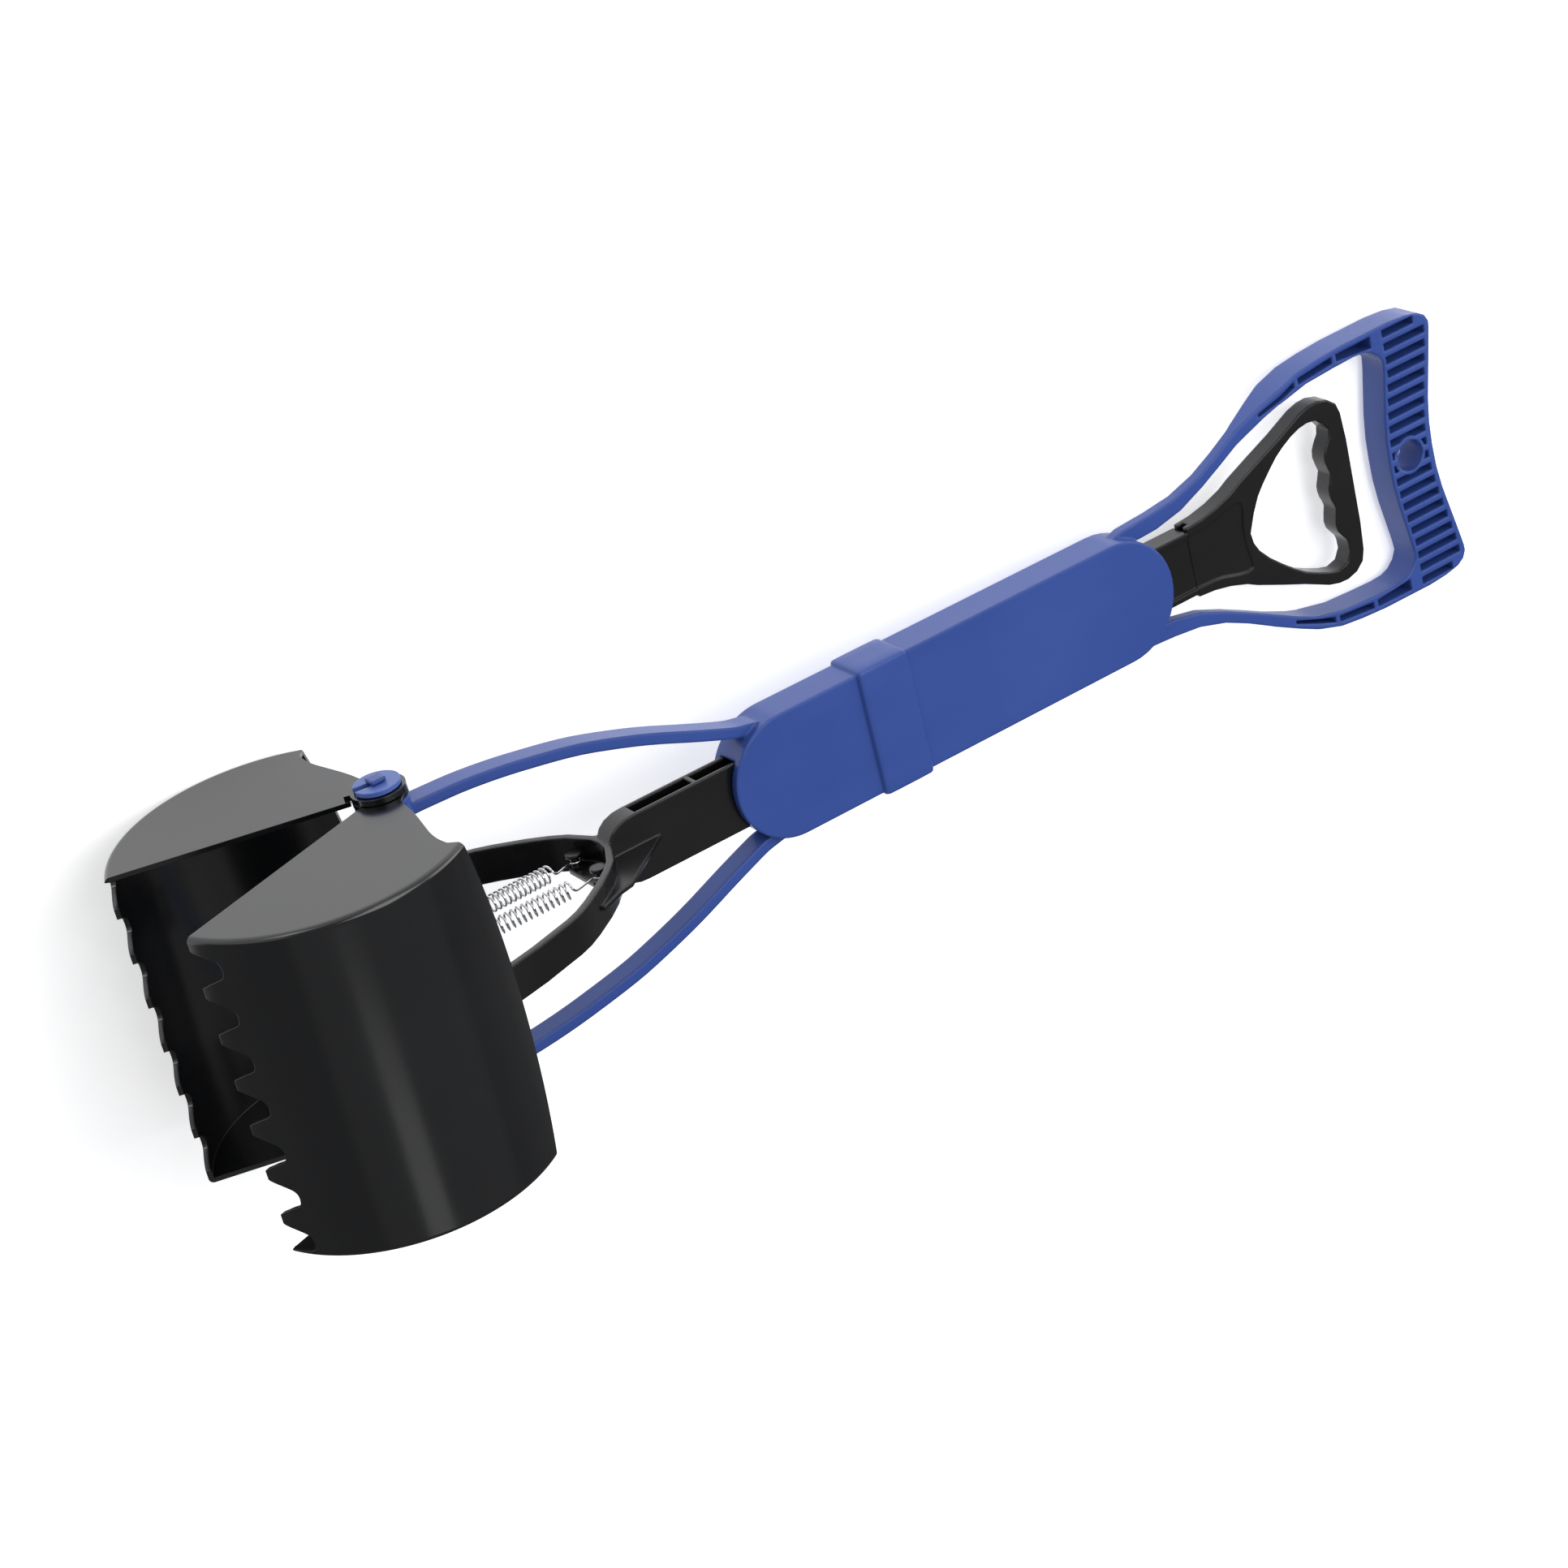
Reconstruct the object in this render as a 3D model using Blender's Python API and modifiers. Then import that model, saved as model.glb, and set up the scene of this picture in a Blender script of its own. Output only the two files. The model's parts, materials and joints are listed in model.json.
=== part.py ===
"""Pooper scooper with two toothed jaws, a pull rod in a flat sleeve and a loop handle."""
import math

import bmesh
import bpy
from mathutils import Matrix, Vector

# General fits
GAP = 0.0003
RUN = 0.0004
OVERRUN = 0.004
WELD = 0.00001

# Jaws: one moulding, used twice, the second turned half a turn
JAW_RADIUS = 0.066
JAW_DROP_SHARE = 0.6439
JAW_HALF_WIDTH = 0.0696
JAW_SKIN = 0.002
JAW_ROUNDING = 0.0022
JAW_REST_ANGLE = math.radians(20.0)
JAW_ARC_STEPS = 44
WALL_END_ANGLE = math.radians(27.0)
WALL_BOW = 0.0088
WALL_BACK_EDGE_SHARE = -0.2182
HORN_DEPTH = 0.004
HORN_CUT_SHARE = 0.88
TOOTH_PITCH_SHARE = 0.2874
TOOTH_DEPTH = 0.0128
TOOTH_START_SHARE = -0.9727
GULLETS = 7

# Pivot stack, measured along the axle
ARM_INSET = 0.0053
ARM_WIDTH = 0.0048
ARM_HALF_DEPTH = 0.0052
BOSS_RADIUS = 0.0108
EAR_RADIUS = 0.011
EAR_LIFT = 0.0024
EAR_STEP = 0.002
AXLE_RADIUS = 0.0042
NECK_RADIUS = 0.0022
CLIP_RADIUS = 0.0094
CLIP_THICKNESS = 0.0019
CLIP_SLOT = 0.0036
CLIP_SLOT_TURN = math.radians(192.0)
KEY_SIDE = 0.006
KEY_LENGTH = 0.0017
CROSS_ROD_RADIUS = 0.0016
CROSS_ROD_SEAT = 0.003

# Sleeve, in two halves joined at the band
SLEEVE_HALF_WIDTH = 0.0273
SLEEVE_HALF_DEPTH = 0.009
SLEEVE_LOW_CENTRE_Y = 0.1693
SLEEVE_TOP_CENTRE_Y = 0.341
SLEEVE_ROUNDING = 0.002
SLEEVE_WALL = 0.0022
SLEEVE_END_STEPS = 22
BAND_LOW_Y = 0.2076
BAND_TOP_Y = 0.2326
BAND_HALF_WIDTH = 0.0288
BAND_HALF_DEPTH = 0.0112
SOCKET_DEPTH = 0.017

# Handle loop
LOOP_HALF_WIDTH = 0.0637
LOOP_START_RISE = 0.005
LOOP_LENGTH = 0.1817
BAR_HALF_DEPTH = 0.0075
LOOP_ROOT_HALF_DEPTH = 0.0028
LOOP_THIN_SHARE = 0.396
LOOP_FULL_SHARE = 0.528
LOOP_ROUNDING = 0.0022
BAR_CORNER_SHARE = 0.7
SLOT_END_RIM = 0.004
SLOT_WIDTH = 0.0036
SLOTS_PER_SIDE = 10
SLOT_DEPTH = 0.010
BAR_RIM = 0.003
BAR_INNER_RIM = 0.0018
POCKET_WIDTH = 0.0034
POCKET_RIM = 0.0022
POCKET_RIB = 0.0022
POCKET_LOW_SHARE = 0.465
POCKET_TOP_SHARE = 0.817
POCKETS_PER_ARM = 3
HANG_HOLE_SHARE = 0.88
HANG_HOLE_RADIUS = 0.0072
HANG_RING_WIDTH = 0.0016

# Pull rod with its two straps
ROD_HALF_WIDTH = 0.0146
ROD_HALF_DEPTH = 0.005
ROD_LOW_DROP = 0.0026
ROD_PLAIN_RISE = 0.0043
ROD_RECESS_HALF_WIDTH = 0.012
ROD_RECESS_Z = 0.0037
TONGUE_HALF_WIDTH = 0.0129
TONGUE_HALF_DEPTH = 0.0025
TONGUE_LENGTH = 0.0163
ROD_SKIN = 0.0014
ROD_GROOVE_DEPTH = 0.0105
ROD_RIB = 0.0018
ROD_RIB_LOW_Y = 0.1276
ROD_GROOVES = 5
STRAP_EDGE = 0.0028
STRAP_RISE = 0.085
STRAP_THICKNESS = 0.003
STRAP_HALF_WIDTH = 0.0076
GUSSET_THICKNESS = 0.002
STRAP_PIN_RADIUS = 0.00125
PIN_STANDOFF = 0.01055
STRAP_EYE_RADIUS = 0.003
PULL_CLOSE = 0.0193
LUG_BELOW_STRAPS = 0.0108
LUG_REACH = 0.0099
LUG_RADIUS = 0.0018
LUG_HALF_LENGTH = 0.0022
LUG_HEAD_RADIUS = 0.0035
LUG_HEAD_THICKNESS = 0.0014
WEB_THICKNESS = 0.0022

# Slotted cheeks inside each jaw, which carry the strap pins
CHEEK_THICKNESS = 0.0025
CHEEK_HALF_HEIGHT = 0.0044
CHEEK_LIP = 0.0022
PIN_PLAY = 0.0005
DRUM_SIDES = 88

# Grip
HAND_GAP = 0.019
GRIP_HALF_WIDTH = 0.043
GRIP_HALF_DEPTH = 0.0045
GRIP_ROUNDING = 0.0012
NOTCH_RISE = 0.003
NOTCH_HALF_HEIGHT = 0.0017

# Springs
WIRE_RADIUS = 0.000475
COIL_RADIUS = 0.003675
COIL_LEAD = 0.013
COILS = 20
POINTS_PER_COIL = 9
SPRING_FOOT_X = 0.005
HOOK_TURN = math.radians(285.0)
HOOK_POINTS = 11

# Outlines as shares of the sizes that they follow
GULLET_SHARES = (
    (0.195, 0), (0.25, 0.328), (0.3, 0.625), (0.365, 0.891), (0.44, 0.992), (0.6, 1),
    (0.68, 0.961), (0.745, 0.836), (0.8, 0.586), (0.9, 0.266), (0.975, 0),
)
NECK_SHARES = (
    (0.858, -0.376), (0.771, -0.356), (0.677, -0.314), (0.58, -0.253), (0.444, -0.167),
    (0.333, -0.106), (0.273, -0.08), (0.205, -0.036),
)
ARM_OUTER_SHARES = (
    (1, 0), (1, 0.077), (0.99, 0.178), (0.96, 0.284), (0.918, 0.379), (0.852, 0.497),
    (0.737, 0.633), (0.665, 0.704), (0.592, 0.769), (0.509, 0.846), (0.457, 0.899),
    (0.43, 0.947), (0.377, 1.006),
)
LOOP_OUTER_SHARES = (
    (-0.025, 0), (0.025, 0.033), (0.052, 0.121), (0.096, 0.198), (0.209, 0.274), (0.363, 0.338),
    (0.566, 0.411), (0.712, 0.471), (0.813, 0.517), (0.926, 0.589), (0.967, 0.655),
    (0.992, 0.729), (1, 0.875),
)
BAR_OUTER_SHARES = (
    (0.989, 0.93), (0.965, 0.971), (0.929, 0.991), (0.879, 1), (0.824, 0.999), (0.659, 0.987),
    (0.518, 0.976), (0.345, 0.963), (0.157, 0.954), (0, 0.952),
)
LOOP_INNER_SHARES = (
    (-0.176, 0), (-0.168, 0.088), (-0.157, 0.13), (-0.08, 0.207), (0.071, 0.281),
    (0.228, 0.345), (0.415, 0.418), (0.563, 0.479), (0.646, 0.52), (0.742, 0.609),
    (0.769, 0.693), (0.783, 0.759),
)
BAR_INNER_SHARES = (
    (0.87, 0.793), (0.848, 0.815), (0.801, 0.834), (0.738, 0.846), (0.659, 0.843),
    (0.518, 0.834), (0.338, 0.823), (0.157, 0.816), (0, 0.815),
)
STRAP_OUTER_SHARES = (
    (0, 1), (0.114, 0.989), (0.194, 0.962), (0.317, 0.918), (0.426, 0.855), (0.549, 0.765),
    (0.692, 0.641), (0.766, 0.565), (0.815, 0.494), (0.873, 0.376), (0.928, 0.265),
    (0.968, 0.159), (0.991, 0.092), (1, 0.024),
)
GUSSET_SHARES = (
    (0.053, 1.282), (0.109, 1.235), (0.511, 0.918), (0.539, 0.842), (0.634, 0.713),
    (0.581, 0.713), (0.423, 0.829), (0.308, 0.894), (0.185, 0.941), (0.053, 0.965),
)
SHOULDER_SHARES = (
    (1, 1), (0.979, 0.726), (0.884, 0.438), (0.726, 0.233), (0.521, 0.11),
)
GRIP_OUTER_SHARES = (
    (0.379, 0), (0.395, 0.094), (0.437, 0.189), (0.505, 0.283), (0.57, 0.34), (0.705, 0.487),
    (0.814, 0.611), (0.958, 0.754), (0.993, 0.814), (1, 0.869), (0.965, 0.929), (0.884, 0.974),
    (0.767, 0.991), (0.465, 1),
)
GRIP_HOLE_SHARES = (
    (-0.044, 0.365), (-0.195, 0.396), (-0.34, 0.436), (-0.437, 0.476), (-0.544, 0.527),
    (-0.642, 0.578), (-0.707, 0.624), (-0.772, 0.681), (-0.814, 0.736), (-0.83, 0.788),
    (-0.814, 0.837), (-0.74, 0.881), (-0.653, 0.908), (-0.57, 0.901), (-0.5, 0.877),
    (-0.426, 0.858), (-0.349, 0.853), (-0.272, 0.861), (-0.186, 0.873), (-0.105, 0.86),
    (-0.037, 0.848), (0.023, 0.847), (0.093, 0.853), (0.151, 0.865), (0.209, 0.871),
    (0.284, 0.861), (0.372, 0.853), (0.447, 0.86), (0.512, 0.88), (0.565, 0.9), (0.616, 0.908),
    (0.721, 0.91), (0.826, 0.88), (0.856, 0.825), (0.826, 0.771), (0.765, 0.704),
    (0.691, 0.634), (0.591, 0.568), (0.474, 0.503), (0.351, 0.44), (0.221, 0.388),
    (0.116, 0.364), (0, 0.356),
)
GRIP_PANEL_SHARES = (
    (0.279, -0.081), (0.288, 0.094), (0.305, 0.159), (0.353, 0.236), (0.381, 0.301),
    (0.363, 0.33), (0.312, 0.337), (0.112, 0.32), (0, 0.319),
)

# Derived places along the axle
PLATE_IN_X = JAW_HALF_WIDTH - JAW_SKIN
PLATE_OUT_X = JAW_HALF_WIDTH
ARM_HALF_SPAN = PLATE_IN_X - ARM_INSET
ARM_IN_X = ARM_HALF_SPAN - ARM_WIDTH
BOSS_OUT_X = PLATE_IN_X - GAP
LIFT_IN_X = PLATE_OUT_X + GAP
LIFT_OUT_X = LIFT_IN_X + EAR_LIFT
CLIP_IN_X = LIFT_OUT_X + GAP
CLIP_OUT_X = CLIP_IN_X + CLIP_THICKNESS
KEY_IN_X = CLIP_OUT_X + GAP

# Derived places of the jaws' drum and teeth
JAW_DROP = JAW_RADIUS * JAW_DROP_SHARE
WALL_BACK_EDGE_Y = JAW_RADIUS * WALL_BACK_EDGE_SHARE
TOOTH_PITCH = JAW_HALF_WIDTH * TOOTH_PITCH_SHARE
TOOTH_START_X = JAW_HALF_WIDTH * TOOTH_START_SHARE
DRUM_SIDE_REACH = JAW_DROP * math.cos(JAW_REST_ANGLE)
WALL_REACH = math.sqrt((JAW_RADIUS - JAW_SKIN) ** 2 - DRUM_SIDE_REACH**2)
WALL_REACH += JAW_DROP * math.sin(JAW_REST_ANGLE)
STRAP_PIN_REACH = WALL_REACH - PIN_STANDOFF
STRAP_REACH = STRAP_PIN_REACH + STRAP_EDGE

# Derived places up the rod
ARM_RISE = SLEEVE_LOW_CENTRE_Y
SOCKET_FLOOR_Y = BAND_TOP_Y - SOCKET_DEPTH
ROD_LOW_Y = STRAP_RISE - ROD_LOW_DROP
ROD_PLAIN_FROM_Y = SLEEVE_TOP_CENTRE_Y + ROD_PLAIN_RISE
LUG_DROP = STRAP_RISE - LUG_BELOW_STRAPS
SLEEVE_SHOULDER_Y = math.sqrt(SLEEVE_HALF_WIDTH**2 - (ROD_HALF_WIDTH + RUN) ** 2)
SLEEVE_SHOULDER_Y += SLEEVE_TOP_CENTRE_Y
GRIP_BASE_Y = SLEEVE_SHOULDER_Y + PULL_CLOSE + GAP
TONGUE_TOP_Y = GRIP_BASE_Y + TONGUE_LENGTH
LOOP_START_Y = SLEEVE_TOP_CENTRE_Y + LOOP_START_RISE
LOOP_THIN_TO_Y = LOOP_START_Y + LOOP_LENGTH * LOOP_THIN_SHARE
LOOP_FULL_FROM_Y = LOOP_START_Y + LOOP_LENGTH * LOOP_FULL_SHARE
POCKET_LOW_Y = LOOP_START_Y + LOOP_LENGTH * POCKET_LOW_SHARE
POCKET_TOP_Y = LOOP_START_Y + LOOP_LENGTH * POCKET_TOP_SHARE
HANG_HOLE_Y = LOOP_START_Y + LOOP_LENGTH * HANG_HOLE_SHARE
BAR_INNER_Y = LOOP_START_Y + LOOP_LENGTH * BAR_INNER_SHARES[-1][1]
GRIP_LENGTH = BAR_INNER_Y - HAND_GAP - GRIP_BASE_Y
SLOT_PITCH = (LOOP_HALF_WIDTH - SLOT_END_RIM) / (SLOTS_PER_SIDE - 0.5)
BAR_CORNER_X = LOOP_HALF_WIDTH * BAR_CORNER_SHARE

# An outline drawn with its first axis along Z and its thickness along X
SIDE = Matrix(((0, 0, -1, 0), (0, 1, 0, 0), (1, 0, 0, 0), (0, 0, 0, 1)))

for old in list(bpy.data.objects):
    bpy.data.objects.remove(old, do_unlink=True)
parts = bpy.data.collections.new("pooper_scooper")
cutters = bpy.data.collections.new("pooper_scooper_cutters")
bpy.context.scene.collection.children.link(parts)
bpy.context.scene.collection.children.link(cutters)


def new_material(name, colour, roughness, metallic=0.0):
    made = bpy.data.materials.new(name)
    made.use_nodes = True
    shader = made.node_tree.nodes["Principled BSDF"]
    shader.inputs["Base Color"].default_value = (*colour, 1.0)
    shader.inputs["Roughness"].default_value = roughness
    shader.inputs["Metallic"].default_value = metallic
    return made


def new_empty(name, parent=None, rotation=(0.0, 0.0, 0.0)):
    made = bpy.data.objects.new(name, None)
    parts.objects.link(made)
    made.parent = parent
    made.rotation_euler = rotation
    return made


def new_part(name, mesh, finish, parent, location=(0.0, 0.0, 0.0)):
    made = bpy.data.objects.new(name, mesh)
    parts.objects.link(made)
    made.parent = parent
    made.location = location
    mesh.materials.append(finish)
    mesh.shade_smooth()
    mesh.set_sharp_from_angle(angle=math.radians(32.0))
    return made


def new_cutter(name, mesh, parent, location=(0.0, 0.0, 0.0), rotation=(0.0, 0.0, 0.0)):
    made = bpy.data.objects.new(name, mesh)
    cutters.objects.link(made)
    made.parent = parent
    made.location = location
    made.rotation_euler = rotation
    made.hide_render = True
    made.display_type = "WIRE"
    return made


def apply_shape(target, tool, operation):
    modifier = target.modifiers.new(tool.name, "BOOLEAN")
    modifier.operation = operation
    modifier.object = tool


def join(target, tool):
    apply_shape(target, tool, "UNION")


def cut(target, tool):
    apply_shape(target, tool, "DIFFERENCE")


def keep(target, tool):
    apply_shape(target, tool, "INTERSECT")


def round_edges(target, width, segments=2):
    modifier = target.modifiers.new("rounded_edges", "BEVEL")
    modifier.width = width
    modifier.segments = segments
    modifier.limit_method = "ANGLE"
    modifier.angle_limit = math.radians(60.0)


def curve_mesh(name, curve):
    holder = bpy.data.objects.new(name, curve)
    cutters.objects.link(holder)
    graph = bpy.context.evaluated_depsgraph_get()
    mesh = bpy.data.meshes.new_from_object(holder.evaluated_get(graph))
    bpy.data.objects.remove(holder, do_unlink=True)
    bpy.data.curves.remove(curve)
    shape = bmesh.new()
    shape.from_mesh(mesh)
    bmesh.ops.remove_doubles(shape, verts=shape.verts, dist=WELD)
    bmesh.ops.recalc_face_normals(shape, faces=shape.faces)
    shape.to_mesh(mesh)
    shape.free()
    return mesh


def outline_mesh(name, points, half_thickness, turn=Matrix()):
    curve = bpy.data.curves.new(name, "CURVE")
    curve.dimensions = "2D"
    curve.fill_mode = "BOTH"
    curve.extrude = half_thickness
    spline = curve.splines.new("POLY")
    spline.points.add(len(points) - 1)
    for spot, (across, along) in zip(spline.points, points):
        spot.co = (across, along, 0.0, 1.0)
    spline.use_cyclic_u = True
    mesh = curve_mesh(name, curve)
    mesh.transform(turn)
    return mesh


def box_mesh(name, low, high):
    shape = bmesh.new()
    bmesh.ops.create_cube(shape, size=1.0)
    size = Vector(high) - Vector(low)
    middle = (Vector(high) + Vector(low)) / 2
    shape.transform(Matrix.Translation(middle) @ Matrix.Diagonal((*size, 1.0)))
    mesh = bpy.data.meshes.new(name)
    shape.to_mesh(mesh)
    shape.free()
    return mesh


def rod_mesh(name, radius, start, end, sides=32, turn=Matrix.Rotation(math.pi / 2, 4, "Y")):
    shape = bmesh.new()
    bmesh.ops.create_cone(
        shape, cap_ends=True, segments=sides, radius1=radius, radius2=radius, depth=end - start
    )
    shape.transform(turn @ Matrix.Translation((0.0, 0.0, (start + end) / 2)))
    mesh = bpy.data.meshes.new(name)
    shape.to_mesh(mesh)
    shape.free()
    return mesh


def arc(centre, radius, first, last, steps):
    turns = [first + (last - first) * i / steps for i in range(steps + 1)]
    return [(centre[0] + radius * math.cos(a), centre[1] + radius * math.sin(a)) for a in turns]


def from_shares(shares, width, length, start=0.0, root_x=0.0):
    span = width - root_x
    return [(root_x + across * span, start + along * length) for across, along in shares]


def mirrored(points):
    return points + [(-across, along) for across, along in reversed(points) if across > WELD]


def offset_path(points, distance):
    moved = []
    for i, spot in enumerate(points):
        before = Vector(points[max(i - 1, 0)])
        after = Vector(points[min(i + 1, len(points) - 1)])
        along = (after - before).normalized()
        moved.append((spot[0] + along.y * distance, spot[1] - along.x * distance))
    return moved


def reading(points, place):
    """The along value of an outline at an across value, between its points."""
    ordered = sorted(points)
    for (a, b), (c, d) in zip(ordered, ordered[1:]):
        if a <= place <= c and c > a:
            return b + (d - b) * (place - a) / (c - a)
    return ordered[-1][1]


def make_jaw(name, parent):
    """A drum-shaped bucket: curved toothed wall, two side plates, one ear raised over the other jaw's."""
    centre = (0.0, -JAW_DROP)
    wall = arc(centre, JAW_RADIUS, -math.pi / 2, WALL_END_ANGLE, JAW_ARC_STEPS)
    horn = arc(centre, JAW_RADIUS - HORN_DEPTH, WALL_END_ANGLE, WALL_END_ANGLE * 0.6, 2)
    neck = from_shares(NECK_SHARES, JAW_RADIUS, JAW_RADIUS)
    ear = arc((0.0, 0.0), EAR_RADIUS, math.radians(8.0), math.radians(266.0), 22)
    edge = [(GAP, -EAR_RADIUS), (GAP, -JAW_DROP - JAW_RADIUS)]
    blank = outline_mesh(name, wall[1:] + horn + neck + ear + edge, JAW_HALF_WIDTH, SIDE)
    weights = blank.attributes.new("bevel_weight_edge", "FLOAT", "EDGE")
    for line in blank.edges:
        ends = [blank.vertices[i].co for i in line.vertices]
        radial = [math.hypot(end.y + JAW_DROP, end.z) for end in ends]
        flat = abs(ends[0].x - ends[1].x) < WELD
        if flat and min(radial) > JAW_RADIUS - WELD:
            weights.data[line.index].value = 1.0
    jaw = new_part(name, blank, black, parent)
    rounding = jaw.modifiers.new("rounded_rim", "BEVEL")
    rounding.width = JAW_ROUNDING
    rounding.segments = 3
    rounding.limit_method = "WEIGHT"

    inner = JAW_RADIUS - JAW_SKIN
    bowl = arc(centre, inner, -math.pi / 2, WALL_END_ANGLE + JAW_REST_ANGLE, JAW_ARC_STEPS)
    far = [(JAW_RADIUS, EAR_RADIUS + OVERRUN), (-EAR_RADIUS - OVERRUN, EAR_RADIUS + OVERRUN)]
    mouth = [(-EAR_RADIUS - OVERRUN, -JAW_DROP - inner)]
    hollow = outline_mesh(name + "_hollow", bowl + far[1:] + mouth, PLATE_IN_X, SIDE)
    cut(jaw, new_cutter(name + "_hollow", hollow, parent))

    steps = [i / 8 - 1 for i in range(17)]
    bow = [(s * PLATE_OUT_X, WALL_BACK_EDGE_Y - WALL_BOW * s * s) for s in steps]
    top = [(PLATE_OUT_X + OVERRUN, bow[-1][1]), (PLATE_OUT_X + OVERRUN, JAW_DROP)]
    top += [(-PLATE_OUT_X - OVERRUN, JAW_DROP), (-PLATE_OUT_X - OVERRUN, bow[0][1])]
    slab_half = (JAW_RADIUS + OVERRUN - (JAW_RADIUS - HORN_DEPTH) * HORN_CUT_SHARE) / 2
    slab = outline_mesh(name + "_back_edge", bow + top, slab_half)
    place = (0.0, 0.0, JAW_RADIUS + OVERRUN - slab_half)
    cut(jaw, new_cutter(name + "_back_edge", slab, parent, place))

    teeth_half = JAW_SKIN + OVERRUN
    along_y = Matrix.Rotation(math.pi / 2, 4, "X")
    for i in range(GULLETS):
        start = TOOTH_START_X + TOOTH_PITCH * i
        gullet = [(start + a * TOOTH_PITCH, d * TOOTH_DEPTH) for a, d in GULLET_SHARES]
        gullet = [(min(a, PLATE_IN_X - GAP), d) for a, d in gullet]
        gullet += [(gullet[-1][0], -OVERRUN), (gullet[0][0], -OVERRUN)]
        tooth = outline_mesh(f"{name}_gullet_{i}", gullet, teeth_half, along_y)
        spot = (0.0, -JAW_DROP - JAW_RADIUS + JAW_SKIN, 0.0)
        cut(jaw, new_cutter(f"{name}_gullet_{i}", tooth, parent, spot))

    step_radius = EAR_RADIUS + PIN_PLAY + EAR_STEP
    sector = arc((0.0, 0.0), step_radius, math.radians(-14.0), math.radians(-88.0), 8)
    lifted = sector + [(GAP, -EAR_RADIUS)]
    lifted += arc((0.0, 0.0), EAR_RADIUS, math.radians(-94.0), math.radians(-365.0), 24)
    low_x = PLATE_OUT_X - JAW_SKIN / 2
    cap = outline_mesh(name + "_raised_ear", lifted, (LIFT_OUT_X - low_x) / 2, SIDE)
    join(jaw, new_cutter(name + "_raised_ear", cap, parent, ((LIFT_OUT_X + low_x) / 2, 0.0, 0.0)))
    well = rod_mesh(name + "_well", EAR_RADIUS + PIN_PLAY, BOSS_OUT_X - GAP, LIFT_IN_X, 48)
    cut(jaw, new_cutter(name + "_well", well, parent))
    bore = rod_mesh(name + "_bore", AXLE_RADIUS + GAP, -KEY_IN_X, KEY_IN_X)
    cut(jaw, new_cutter(name + "_bore", bore, parent))

    far_reach = math.hypot(STRAP_PIN_REACH, PULL_CLOSE)
    root = WALL_REACH + CHEEK_HALF_HEIGHT + JAW_SKIN
    lip = STRAP_PIN_REACH - STRAP_PIN_RADIUS - PIN_PLAY - CHEEK_LIP
    slope = (JAW_REST_ANGLE, 0.0, 0.0)
    half = STRAP_PIN_RADIUS + PIN_PLAY
    slot_out = STRAP_HALF_WIDTH + RUN + CHEEK_THICKNESS + OVERRUN
    drum = rod_mesh(name + "_drum", inner + JAW_SKIN / 2, -slot_out, slot_out, DRUM_SIDES)
    drum = new_cutter(name + "_drum", drum, parent, (0.0, *centre[1:], 0.0))
    for side in (-1, 1):
        near = side * (STRAP_HALF_WIDTH + RUN)
        wide = side * (STRAP_HALF_WIDTH + RUN + CHEEK_THICKNESS)
        label = f"{name}_cheek_{side + 1}"
        low = (min(near, wide), -CHEEK_HALF_HEIGHT, lip)
        high = (max(near, wide), CHEEK_HALF_HEIGHT, root)
        cheek = new_cutter(label, box_mesh(label, low, high), parent, rotation=slope)
        keep(cheek, drum)
        join(jaw, cheek)
    reach = [STRAP_PIN_REACH, far_reach]
    ends = arc((reach[1], 0.0), half, -math.pi / 2, math.pi / 2, 8)
    ends += arc((reach[0], 0.0), half, math.pi / 2, math.pi * 3 / 2, 8)
    slot = outline_mesh(name + "_pin_slot", ends, slot_out, SIDE)
    cut(jaw, new_cutter(name + "_pin_slot", slot, parent, rotation=slope))


def sleeve_outline(end_y, centre_y, top):
    """A straight-sided outline with one half-round end."""
    if top:
        bend = arc((0.0, centre_y), SLEEVE_HALF_WIDTH, 0.0, math.pi, SLEEVE_END_STEPS)
        return [(SLEEVE_HALF_WIDTH, end_y)] + bend + [(-SLEEVE_HALF_WIDTH, end_y)]
    bend = arc((0.0, centre_y), SLEEVE_HALF_WIDTH, math.pi, 2 * math.pi, SLEEVE_END_STEPS)
    return [(-SLEEVE_HALF_WIDTH, end_y)] + bend + [(SLEEVE_HALF_WIDTH, end_y)]


def cut_sleeve(sleeve, label, low_y, high_y, cell_low, cell_high):
    """The flat channel for the rod and one hollow cell on either side of it."""
    wide = ROD_HALF_WIDTH + RUN
    deep = ROD_HALF_DEPTH + RUN
    channel = box_mesh(label + "_channel", (-wide, low_y, -deep), (wide, high_y, deep))
    cut(sleeve, new_cutter(label + "_channel", channel, root))
    cell_deep = SLEEVE_HALF_DEPTH - SLEEVE_WALL
    for side in (-1, 1):
        ends = sorted((side * (wide + SLEEVE_WALL), side * (SLEEVE_HALF_WIDTH - SLEEVE_WALL)))
        low = (ends[0], cell_low, -cell_deep)
        cell = box_mesh(f"{label}_cell_{side + 1}", low, (ends[1], cell_high, cell_deep))
        cut(sleeve, new_cutter(f"{label}_cell_{side + 1}", cell, root))


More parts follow.
